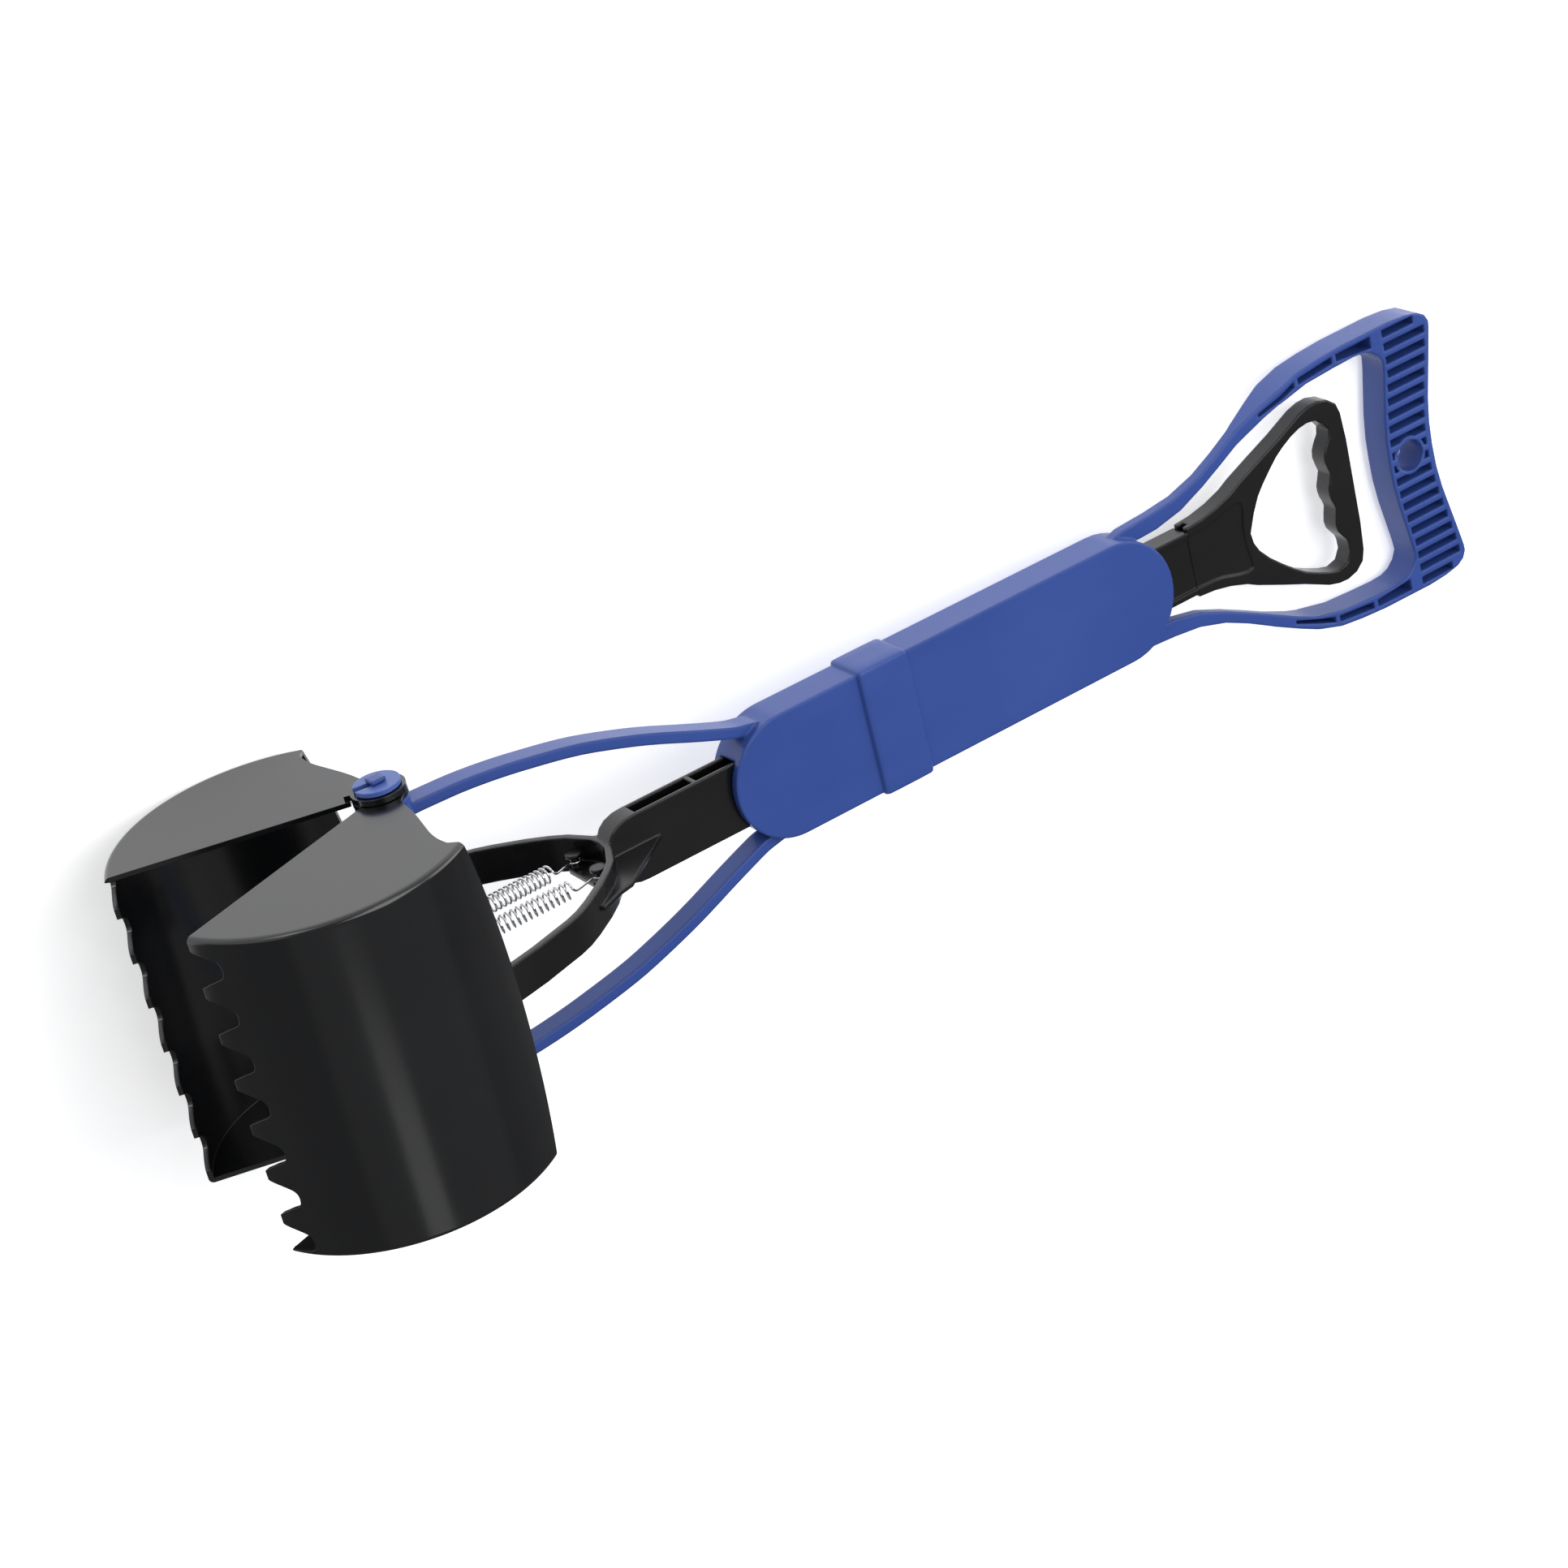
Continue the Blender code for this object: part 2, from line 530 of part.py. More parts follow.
def make_lower_frame():
    """Lower half of the sleeve with its band socket, the two arms, their bosses and axles."""
    name = "lower_frame"
    outline = sleeve_outline(SOCKET_FLOOR_Y, SLEEVE_LOW_CENTRE_Y, False)
    frame = new_part(name, outline_mesh(name, outline, SLEEVE_HALF_DEPTH), blue, root)
    round_edges(frame, SLEEVE_ROUNDING)
    low = (-BAND_HALF_WIDTH, BAND_LOW_Y, -BAND_HALF_DEPTH)
    band = box_mesh("band", low, (BAND_HALF_WIDTH, BAND_TOP_Y, BAND_HALF_DEPTH))
    band = new_cutter("band", band, root)
    round_edges(band, SLEEVE_ROUNDING)
    join(frame, band)
    outer = from_shares(ARM_OUTER_SHARES, ARM_HALF_SPAN, ARM_RISE)
    inner = offset_path(outer, -ARM_WIDTH)
    for side in (-1, 1):
        label = "left" if side < 0 else "right"
        loop = [(side * across, along) for across, along in outer + inner[::-1]]
        arm = new_cutter("arm_" + label, outline_mesh("arm_" + label, loop, ARM_HALF_DEPTH), root)
        join(frame, arm)
        turn = Matrix.Rotation(side * math.pi / 2, 4, "Y")
        boss = rod_mesh("boss_" + label, BOSS_RADIUS, ARM_IN_X, BOSS_OUT_X, 40, turn)
        join(frame, new_cutter("boss_" + label, boss, root))
        seat_x = ARM_IN_X + CROSS_ROD_SEAT
        axle = rod_mesh("axle_" + label, AXLE_RADIUS, seat_x + GAP, LIFT_OUT_X, 28, turn)
        join(frame, new_cutter("axle_" + label, axle, root))
        neck = rod_mesh("axle_neck_" + label, NECK_RADIUS, BOSS_OUT_X, KEY_IN_X + GAP, 20, turn)
        join(frame, new_cutter("axle_neck_" + label, neck, root))
        key_x = sorted((side * KEY_IN_X, side * (KEY_IN_X + KEY_LENGTH)))
        half = KEY_SIDE / 2
        key = box_mesh("axle_key_" + label, (key_x[0], -half, -half), (key_x[1], half, half))
        join(frame, new_cutter("axle_key_" + label, key, root))
        seat = rod_mesh(
            "rod_seat_" + label, CROSS_ROD_RADIUS + GAP, ARM_IN_X - OVERRUN, seat_x + GAP, 20, turn
        )
        cut(frame, new_cutter("rod_seat_" + label, seat, root))
    wide = SLEEVE_HALF_WIDTH + GAP
    deep = SLEEVE_HALF_DEPTH + GAP
    low = (-wide, SOCKET_FLOOR_Y, -deep)
    socket = box_mesh("band_socket", low, (wide, BAND_TOP_Y + OVERRUN, deep))
    cut(frame, new_cutter("band_socket", socket, root))
    low_y = SLEEVE_LOW_CENTRE_Y - SLEEVE_HALF_WIDTH - OVERRUN
    cut_sleeve(frame, "lower", low_y, BAND_TOP_Y, SLEEVE_LOW_CENTRE_Y, SOCKET_FLOOR_Y + OVERRUN)


def cut_bar(frame, outer, inner):
    """Slots, ring and hang hole on the front of the bar, and pockets on the front of its arms."""
    floor_z = BAR_HALF_DEPTH - SLOT_DEPTH
    top_z = BAR_HALF_DEPTH + OVERRUN
    bar_inner = [spot for spot in inner if spot[1] > POCKET_TOP_Y - POCKET_RIB]
    bar_outer = [spot for spot in outer if spot[1] > HANG_HOLE_Y]
    for side in (-1, 1):
        for i in range(SLOTS_PER_SIDE):
            middle = SLOT_PITCH * (i + 0.5)
            half = SLOT_WIDTH / 2
            low_y = reading(bar_inner, min(middle, bar_inner[0][0] * 0.8)) + BAR_INNER_RIM
            high_y = reading(bar_outer, middle + half) - BAR_RIM
            ends = sorted((side * (middle - half), side * (middle + half)))
            label = f"bar_slot_{side + 1}_{i}"
            slot = box_mesh(label, (ends[0], low_y, floor_z), (ends[1], high_y, top_z))
            cut(frame, new_cutter(label, slot, root))
        span = (POCKET_TOP_Y - POCKET_LOW_Y + POCKET_RIB) / POCKETS_PER_ARM
        for i in range(POCKETS_PER_ARM):
            low_y = POCKET_LOW_Y + span * i
            loop = []
            for line, shift in ((outer, -1), (inner, 1)):
                flipped = [(b, a) for a, b in line if a > BAR_CORNER_X or b < POCKET_LOW_Y]
                ends = (low_y, low_y + span - POCKET_RIB)
                edge = [(reading(flipped, y) + shift * POCKET_RIM, y) for y in ends]
                loop += edge if shift < 0 else edge[::-1]
            label = f"arm_pocket_{side + 1}_{i}"
            loop = [(side * a, b) for a, b in loop]
            pocket = outline_mesh(label, loop, (top_z - floor_z) / 2)
            spot = (0.0, 0.0, (top_z + floor_z) / 2)
            cut(frame, new_cutter(label, pocket, root, spot))
    upright = Matrix()
    ring_radius = HANG_HOLE_RADIUS + HANG_RING_WIDTH
    ring = rod_mesh("hang_ring", ring_radius, GAP - BAR_HALF_DEPTH, BAR_HALF_DEPTH - GAP, 36, upright)
    join(frame, new_cutter("hang_ring", ring, root, (0.0, HANG_HOLE_Y, 0.0)))
    hole = rod_mesh("hang_hole", HANG_HOLE_RADIUS, -top_z, top_z, 32, upright)
    cut(frame, new_cutter("hang_hole", hole, root, (0.0, HANG_HOLE_Y, 0.0)))


def make_upper_frame():
    """Upper half of the sleeve, plugged into the band, and the loop handle moulded on it."""
    name = "upper_frame"
    sizes = (LOOP_HALF_WIDTH, LOOP_LENGTH, LOOP_START_Y)
    outer = from_shares(LOOP_OUTER_SHARES, *sizes, SLEEVE_HALF_WIDTH)
    outer += from_shares(BAR_OUTER_SHARES, *sizes)
    inner = from_shares(LOOP_INNER_SHARES, *sizes, SLEEVE_HALF_WIDTH)
    inner += from_shares(BAR_INNER_SHARES, *sizes)
    frame = new_part(name, outline_mesh(name, mirrored(outer), BAR_HALF_DEPTH), blue, root)
    gap_low = [(inner[0][0], LOOP_START_Y - OVERRUN)] + inner
    window = outline_mesh("loop_window", mirrored(gap_low), BAR_HALF_DEPTH + OVERRUN)
    cut(frame, new_cutter("loop_window", window, root))
    end_y = LOOP_START_Y + LOOP_LENGTH + OVERRUN
    profile = [(LOOP_ROOT_HALF_DEPTH, LOOP_START_Y - OVERRUN)]
    profile += [(LOOP_ROOT_HALF_DEPTH, LOOP_THIN_TO_Y), (BAR_HALF_DEPTH, LOOP_FULL_FROM_Y)]
    profile += [(BAR_HALF_DEPTH, end_y)]
    depth = outline_mesh("loop_profile", mirrored(profile), LOOP_HALF_WIDTH + OVERRUN, SIDE)
    keep(frame, new_cutter("loop_profile", depth, root))
    round_edges(frame, LOOP_ROUNDING)
    outline = sleeve_outline(SOCKET_FLOOR_Y + GAP, SLEEVE_TOP_CENTRE_Y, True)
    sleeve = outline_mesh("upper_sleeve", outline, SLEEVE_HALF_DEPTH)
    sleeve = new_cutter("upper_sleeve", sleeve, root)
    round_edges(sleeve, SLEEVE_ROUNDING)
    join(frame, sleeve)
    low_y = SOCKET_FLOOR_Y - OVERRUN
    top_y = SLEEVE_TOP_CENTRE_Y + SLEEVE_HALF_WIDTH + OVERRUN
    cut_sleeve(frame, "upper", low_y, top_y, low_y, SLEEVE_TOP_CENTRE_Y)
    cut_bar(frame, outer, inner)


def make_fork_rod():
    """The flat pull rod, its two bent straps, gussets, strap eyes and spring pegs."""
    name = "fork_rod"
    shoulder = from_shares(SHOULDER_SHARES, ROD_HALF_WIDTH, ROD_HALF_WIDTH, ROD_LOW_Y)
    end_y = GRIP_BASE_Y - GAP
    outline = [(ROD_HALF_WIDTH, end_y)] + shoulder + [(STRAP_HALF_WIDTH, ROD_LOW_Y)]
    rod = new_part(name, outline_mesh(name, mirrored(outline), ROD_HALF_DEPTH), black, pull)
    wide, deep = TONGUE_HALF_WIDTH, TONGUE_HALF_DEPTH
    tongue = box_mesh("tongue", (-wide, ROD_PLAIN_FROM_Y, -deep), (wide, TONGUE_TOP_Y, deep))
    join(rod, new_cutter("tongue", tongue, pull))
    for side in (-1, 1):
        wide = ROD_RECESS_HALF_WIDTH
        ends = sorted((side * ROD_RECESS_Z, side * (ROD_HALF_DEPTH + OVERRUN)))
        label = f"rod_recess_{side + 1}"
        low = (-wide, ROD_PLAIN_FROM_Y + ROD_RIB, ends[0])
        recess = box_mesh(label, low, (wide, end_y + OVERRUN, ends[1]))
        cut(rod, new_cutter(label, recess, pull))
    outer = from_shares(STRAP_OUTER_SHARES, STRAP_REACH, STRAP_RISE)
    inner = offset_path(outer, STRAP_THICKNESS)
    bend = mirrored(outer[::-1]) + mirrored(inner[::-1])[::-1]
    straps = outline_mesh("straps", bend, STRAP_HALF_WIDTH, SIDE)
    join(rod, new_cutter("straps", straps, pull))
    gusset = from_shares(GUSSET_SHARES, STRAP_REACH, STRAP_RISE)
    for side in (-1, 1):
        label = "front" if side > 0 else "rear"
        fin = [(side * across, along) for across, along in gusset]
        fin = outline_mesh("gusset_" + label, fin, GUSSET_THICKNESS / 2, SIDE)
        join(rod, new_cutter("gusset_" + label, fin, pull))
        eye = rod_mesh("eye_" + label, STRAP_EYE_RADIUS, -STRAP_HALF_WIDTH, STRAP_HALF_WIDTH, 24)
        join(rod, new_cutter("eye_" + label, eye, pull, (0.0, 0.0, side * STRAP_PIN_REACH)))
    web_low = LUG_DROP - LUG_HEAD_RADIUS
    web_high = STRAP_RISE - STRAP_THICKNESS / 2
    web = [(LUG_REACH + LUG_HEAD_RADIUS, LUG_DROP), (LUG_REACH, web_low), (0.0, web_low)]
    web = [(0.0, web_high), (LUG_REACH, web_high - STRAP_THICKNESS)] + web
    web = outline_mesh("spring_web", mirrored(web[:-1]), WEB_THICKNESS / 2, SIDE)
    spot = (LUG_HALF_LENGTH + WEB_THICKNESS / 2, 0.0, 0.0)
    join(rod, new_cutter("spring_web", web, pull, spot))
    for side in (-1, 1):
        spot = (0.0, LUG_DROP, side * LUG_REACH)
        head_x = -LUG_HALF_LENGTH - LUG_HEAD_THICKNESS
        end_x = LUG_HALF_LENGTH + WEB_THICKNESS / 2
        peg = rod_mesh(f"peg_{side + 1}", LUG_RADIUS, head_x + GAP, end_x, 16)
        join(rod, new_cutter(f"peg_{side + 1}", peg, pull, spot))
        head = rod_mesh(f"peg_head_{side + 1}", LUG_HEAD_RADIUS, head_x, -LUG_HALF_LENGTH, 20)
        join(rod, new_cutter(f"peg_head_{side + 1}", head, pull, spot))
        hole = rod_mesh(
            f"eye_bore_{side + 1}", STRAP_PIN_RADIUS + GAP, -ROD_HALF_WIDTH, ROD_HALF_WIDTH, 16
        )
        cut(rod, new_cutter(f"eye_bore_{side + 1}", hole, pull, (0.0, 0.0, side * STRAP_PIN_REACH)))
    deep = ROD_HALF_DEPTH - ROD_SKIN
    span = (ROD_PLAIN_FROM_Y - ROD_RIB_LOW_Y) / (ROD_GROOVES - 1)
    first = shoulder[0][1] + ROD_RIB
    ribs = [ROD_RIB_LOW_Y + span * i for i in range(ROD_GROOVES)]
    for i, top in enumerate(ribs):
        low_y = first if i == 0 else ribs[i - 1] + ROD_RIB / 2
        for side in (-1, 1):
            floor = ROD_HALF_WIDTH - ROD_GROOVE_DEPTH
            ends = sorted((side * floor, side * (ROD_HALF_WIDTH + OVERRUN)))
            label = f"groove_{side + 1}_{i}"
            groove = box_mesh(label, (ends[0], low_y, -deep), (ends[1], top - ROD_RIB / 2, deep))
            cut(rod, new_cutter(label, groove, pull))


def make_grip():
    """The finger grip, snapped over the top of the rod."""
    name = "pull_grip"
    outline = from_shares(GRIP_OUTER_SHARES, GRIP_HALF_WIDTH, GRIP_LENGTH, GRIP_BASE_Y)
    blank = outline_mesh(name, mirrored(outline), GRIP_HALF_DEPTH)
    grip = new_part(name, blank, black, pull)
    hole = from_shares(GRIP_HOLE_SHARES, GRIP_HALF_WIDTH, GRIP_LENGTH, GRIP_BASE_Y)
    hole = outline_mesh("finger_hole", hole, GRIP_HALF_DEPTH + OVERRUN)
    cut(grip, new_cutter("finger_hole", hole, pull))
    round_edges(grip, GRIP_ROUNDING)
    wide = TONGUE_HALF_WIDTH + GAP
    deep = TONGUE_HALF_DEPTH + GAP
    low = (-wide, GRIP_BASE_Y - OVERRUN, -deep)
    socket = box_mesh("grip_socket", low, (wide, TONGUE_TOP_Y + GAP, deep))
    cut(grip, new_cutter("grip_socket", socket, pull))
    panel = from_shares(GRIP_PANEL_SHARES, GRIP_HALF_WIDTH, GRIP_LENGTH, GRIP_BASE_Y)
    for side in (-1, 1):
        label = f"grip_panel_{side + 1}"
        spot = (0.0, 0.0, side * (ROD_RECESS_Z + OVERRUN))
        cut(grip, new_cutter(label, outline_mesh(label, mirrored(panel), OVERRUN), pull, spot))
    low = (-GRIP_HALF_WIDTH, GRIP_BASE_Y - OVERRUN, -NOTCH_HALF_HEIGHT)
    high = (-TONGUE_HALF_WIDTH, GRIP_BASE_Y + NOTCH_RISE, NOTCH_HALF_HEIGHT)
    cut(grip, new_cutter("snap_notch", box_mesh("snap_notch", low, high), pull))


def make_clip(name, side):
    """A round keeper with a keyhole slot, pushed sideways on the axle's neck."""
    turn = Matrix.Rotation(math.pi / 2, 4, "Y")
    half = CLIP_THICKNESS / 2
    spot = (side * (CLIP_IN_X + half), 0.0, 0.0)
    clip = new_part(name, rod_mesh(name, CLIP_RADIUS, -half, half, 40, turn), light_blue, root, spot)
    reach = half + OVERRUN
    hole = rod_mesh(name + "_hole", NECK_RADIUS + GAP, -reach, reach, 20, turn)
    cut(clip, new_cutter(name + "_hole", hole, root, spot))
    low = (-reach, 0.0, -CLIP_SLOT / 2)
    slot = box_mesh(name + "_slot", low, (reach, CLIP_RADIUS + OVERRUN, CLIP_SLOT / 2))
    cut(clip, new_cutter(name + "_slot", slot, root, spot, (CLIP_SLOT_TURN, 0.0, 0.0)))


def make_spring(name, side):
    """One unbroken wire: lower hook on the cross rod, open coils, upper hook on the rod's peg."""
    foot = Vector((side * SPRING_FOOT_X, 0.0, 0.0))
    head = Vector((0.0, LUG_DROP, side * LUG_REACH))
    length = (head - foot).length
    rise = (head - foot).normalized()
    across = (Vector((1.0, 0.0, 0.0)) - rise * rise.x).normalized()
    frame = Matrix((across, rise.cross(across), rise)).transposed().to_4x4()
    low_hook = CROSS_ROD_RADIUS + WIRE_RADIUS + GAP
    top_hook = LUG_RADIUS + WIRE_RADIUS + GAP
    pitch = (length - 2 * COIL_LEAD) / COILS
    path = []
    opening = (2 * math.pi - HOOK_TURN) / 2
    for i in range(HOOK_POINTS):
        a = math.pi / 2 + 2 * opening + HOOK_TURN * i / (HOOK_POINTS - 1)
        path.append(Vector((0.0, -low_hook * math.cos(a), low_hook * math.sin(a))))
    for i in range(COILS * POINTS_PER_COIL + 1):
        a = 2 * math.pi * i / POINTS_PER_COIL
        path.append(
            Vector((COIL_RADIUS * math.sin(a), -COIL_RADIUS * math.cos(a), COIL_LEAD))
            + Vector((0.0, 0.0, pitch * i / POINTS_PER_COIL))
        )
    for i in range(HOOK_POINTS):
        a = math.pi * 3 / 2 + HOOK_TURN * i / (HOOK_POINTS - 1)
        path.append(Vector((0.0, -top_hook * math.cos(a), length + top_hook * math.sin(a))))
    least = min(
        (path[i] - path[j]).length
        for i in range(len(path))
        for j in range(i + 5, len(path))
    )
    print(name, "least gap to itself in mm:", round((least - 2 * WIRE_RADIUS) * 1000, 2))
    curve = bpy.data.curves.new(name, "CURVE")
    curve.dimensions = "3D"
    curve.bevel_depth = WIRE_RADIUS
    curve.bevel_resolution = 1
    curve.use_fill_caps = True
    spline = curve.splines.new("POLY")
    spline.points.add(len(path) - 1)
    for spot, place in zip(spline.points, path):
        spot.co = (*(foot + frame.to_3x3() @ place), 1.0)
    new_part(name, curve_mesh(name, curve), steel, root)


def make_pins():
    reach = STRAP_HALF_WIDTH + RUN + CHEEK_THICKNESS + PIN_PLAY
    for name, side in (("front_strap_pin", 1), ("rear_strap_pin", -1)):
        pin = rod_mesh(name, STRAP_PIN_RADIUS, -reach, reach, 16)
        new_part(name, pin, steel, pull, (0.0, 0.0, side * STRAP_PIN_REACH))
    name = "spring_cross_rod"
    reach = ARM_IN_X + CROSS_ROD_SEAT
    new_part(name, rod_mesh(name, CROSS_ROD_RADIUS, -reach, reach, 20), steel, root)


def set_down():
    """Tilts the tool until a jaw and the bar both touch the ground, and centres it there."""
    rise = LOOP_START_Y + LOOP_LENGTH - LOOP_ROUNDING + JAW_DROP * math.cos(JAW_REST_ANGLE)
    lift = BAR_HALF_DEPTH - LOOP_ROUNDING - JAW_DROP * math.sin(JAW_REST_ANGLE)
    drop = JAW_RADIUS - LOOP_ROUNDING
    tilt = math.asin(drop / math.hypot(rise, lift)) - math.atan2(lift, rise)
    root.rotation_euler = (-tilt, 0.0, 0.0)
    bpy.context.view_layer.update()
    graph = bpy.context.evaluated_depsgraph_get()
    low = Vector((math.inf, math.inf, math.inf))
    high = -low
    for item in parts.objects:
        if item.type != "MESH":
            continue
        shape = item.evaluated_get(graph)
        for vertex in shape.data.vertices:
            spot = shape.matrix_world @ vertex.co
            low = Vector(map(min, low, spot))
            high = Vector(map(max, high, spot))
    root.location = (-(low.x + high.x) / 2, -(low.y + high.y) / 2, -low.z)
    bpy.context.view_layer.update()
    print("tilt in degrees:", round(math.degrees(tilt), 4))
    print("pivot at:", [round(value, 6) for value in root.matrix_world.translation])
    print("size:", [round(value, 5) for value in high - low])


blue = new_material("blue_plastic", (0.054, 0.098, 0.33), 0.4)
light_blue = new_material("light_blue_plastic", (0.102, 0.156, 0.43), 0.4)
black = new_material("black_plastic", (0.009, 0.009, 0.01), 0.25)
steel = new_material("spring_steel", (0.6, 0.6, 0.6), 0.3, 1.0)
root = new_empty("tool_axes")
pull = new_empty("pull_axis", root)
front_pivot = new_empty("front_pivot", root, (-JAW_REST_ANGLE, 0.0, 0.0))
rear_pivot = new_empty("rear_pivot", root, (-JAW_REST_ANGLE, math.pi, 0.0))
make_lower_frame()
make_upper_frame()
make_fork_rod()
make_grip()
make_jaw("front_jaw", front_pivot)
make_jaw("rear_jaw", rear_pivot)
make_clip("axle_clip_left", -1)
make_clip("axle_clip_right", 1)
make_pins()
make_spring("front_spring", 1)
make_spring("rear_spring", -1)
set_down()
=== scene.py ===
import json
import math

import bmesh
import bpy
import numpy as np
from mathutils import Matrix, Vector, kdtree
from mathutils.geometry import tessellate_polygon


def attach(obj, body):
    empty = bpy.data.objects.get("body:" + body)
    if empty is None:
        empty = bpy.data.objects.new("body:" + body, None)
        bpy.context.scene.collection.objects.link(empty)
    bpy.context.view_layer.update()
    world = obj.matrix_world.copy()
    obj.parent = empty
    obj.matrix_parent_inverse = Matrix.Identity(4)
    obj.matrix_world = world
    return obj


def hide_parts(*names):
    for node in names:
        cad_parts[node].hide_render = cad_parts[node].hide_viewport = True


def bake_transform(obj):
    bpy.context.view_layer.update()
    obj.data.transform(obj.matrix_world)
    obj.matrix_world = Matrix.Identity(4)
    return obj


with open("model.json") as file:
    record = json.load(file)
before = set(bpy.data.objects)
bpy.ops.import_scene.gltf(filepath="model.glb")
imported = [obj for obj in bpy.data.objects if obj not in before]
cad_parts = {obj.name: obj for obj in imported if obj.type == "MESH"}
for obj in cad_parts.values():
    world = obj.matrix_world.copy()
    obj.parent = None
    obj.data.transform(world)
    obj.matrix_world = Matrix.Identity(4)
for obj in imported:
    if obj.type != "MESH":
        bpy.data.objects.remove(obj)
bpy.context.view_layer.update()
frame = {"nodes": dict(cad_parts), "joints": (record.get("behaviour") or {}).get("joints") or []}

# The tool's own axes: X along the jaws' axle, Y up the rod, Z towards the viewer's side of the sleeve.
# It lies tilted on its rear jaw and its handle bar, so its place is read from the axle and the rod's slide.
joints = {joint["name"]: joint for joint in frame["joints"]}
axle = np.array(joints["front_jaw_hinge"]["pos_m"], float)
rod_way = np.array(joints["rod_slide"]["axis"], float)
across = np.array((1.0, 0.0, 0.0))
tool_axes = np.stack((across, rod_way, np.cross(across, rod_way)))


def place(points):
    """Tool coordinates in millimetres to the scene's in metres: turned by the tilt, moved to the axle."""
    return np.asarray(points, float) * 0.001 @ tool_axes + axle


def way(direction):
    """A direction in the tool's axes, turned into the scene's."""
    return np.asarray(direction, float) @ tool_axes


# Camera at the photograph's angle: from the front and the left of the jaws, looking down at the tool
# as it lies, through a long lens.
def into_scene(name, data):
    """A new object for a mesh, a lamp or a camera, at the origin."""
    made = bpy.data.objects.new(name, data)
    bpy.context.scene.collection.objects.link(made)
    return made


lens = bpy.data.cameras.new("photo_camera")
lens.sensor_width = 36.0
lens.lens = 87.5
lens.clip_end = 20.0
camera = into_scene("photo_camera", lens)
eye = place((-675.6, -468.97, 1237.05))
right = way((0.22351144, 0.8107630, 0.54102325))
up = way((-0.86951975, 0.41666810, -0.26518518))
back = np.cross(right, up)
turn = np.eye(4)
turn[:3, 0], turn[:3, 1], turn[:3, 2], turn[:3, 3] = right, up, back, eye
camera.matrix_world = Matrix(turn.tolist())
bpy.context.scene.camera = camera
bpy.context.scene.view_settings.view_transform = "Standard"

# Surround: white to the camera and in glossy and clear surfaces, and an even pale light on dull ones.
world = bpy.data.worlds.new("studio")
bpy.context.scene.world = world
world.use_nodes = True
world.cycles.sampling_method = "NONE"
links = world.node_tree.links
sky = world.node_tree.nodes["Background"]
sky.inputs["Color"].default_value = (0.80, 0.81, 0.83, 1.0)
sky.inputs["Strength"].default_value = 0.62
backdrop = world.node_tree.nodes.new("ShaderNodeBackground")
backdrop.inputs["Color"].default_value = (1.0, 1.0, 1.0, 1.0)
paths = world.node_tree.nodes.new("ShaderNodeLightPath")
mirrored = world.node_tree.nodes.new("ShaderNodeMath")
mirrored.operation = "MAXIMUM"
seen = world.node_tree.nodes.new("ShaderNodeMath")
seen.operation = "MAXIMUM"
mixer = world.node_tree.nodes.new("ShaderNodeMixShader")
links.new(paths.outputs["Is Glossy Ray"], mirrored.inputs[0])
links.new(paths.outputs["Is Transmission Ray"], mirrored.inputs[1])
links.new(paths.outputs["Is Camera Ray"], seen.inputs[0])
links.new(mirrored.outputs[0], seen.inputs[1])
links.new(seen.outputs[0], mixer.inputs["Fac"])
links.new(sky.outputs[0], mixer.inputs[1])
links.new(backdrop.outputs[0], mixer.inputs[2])
links.new(mixer.outputs[0], world.node_tree.nodes["World Output"].inputs["Surface"])


# Lamps: one wide soft lamp over the left of the tool, a weaker one behind the handle, a small dim one
# on the right that draws the soft band down the jaws' walls, and a low one that lights their corners.
def studio_lamp(name, spot, aim, size, power):
    """A square area lamp at a place in the tool's axes, in millimetres, aimed at another such place."""
    data = bpy.data.lights.new(name, "AREA")
    data.shape = "SQUARE"
    data.size = size
    data.energy = power
    lamp = into_scene(name, data)
    lamp.location = Vector(place(spot))
    lamp.rotation_euler = Vector(place(aim) - place(spot)).to_track_quat("-Z", "Y").to_euler()


studio_lamp("overhead_softbox", (-480, 430, 1330), (0, 150, 0), size=1.2, power=13.5)
studio_lamp("rear_softbox", (-250, 1350, 620), (0, 250, 0), size=0.9, power=5.0)
studio_lamp("side_softbox", (760, -260, 1150), (0, -20, 0), size=0.35, power=0.3)
studio_lamp("left_strip", (-920, -485, 310), (-60, -45, 60), size=0.3, power=1.0)


# Studio sheets: the floor of white paper, and three dim sheets that only glossy surfaces see: the ceiling
# over the lamps, a card laid to the right of the jaws, out of the picture, and a folding screen round that
# side. They stand where a photographer sets black cards, but cast no shadow and give no diffuse light: they
# are painted dark reflections in the walls.
def studio_sheet(name, corners, faces, grey, glow):
    """Flat faces between corners in metres, of plain matt stuff with a faint even glow of its own."""
    mesh = bpy.data.meshes.new(name)
    mesh.from_pydata(corners, [], faces)
    sheet = into_scene(name, mesh)
    stuff = bpy.data.materials.new(name)
    stuff.use_nodes = True
    stuff.cycles.emission_sampling = "NONE"
    shader = stuff.node_tree.nodes["Principled BSDF"]
    shader.inputs["Base Color"].default_value = (grey, grey, grey, 1.0)
    shader.inputs["Roughness"].default_value = 0.9
    shader.inputs["Specular IOR Level"].default_value = 0.1
    shader.inputs["Emission Color"].default_value = (1.0, 1.0, 1.0, 1.0)
    shader.inputs["Emission Strength"].default_value = glow
    mesh.materials.append(stuff)
    return sheet


def level(low, high, height):
    """The four corners of a level rectangle."""
    corners = ((low[0], low[1]), (high[0], low[1]), (high[0], high[1]), (low[0], high[1]))
    return [(x, y, height) for x, y in corners]


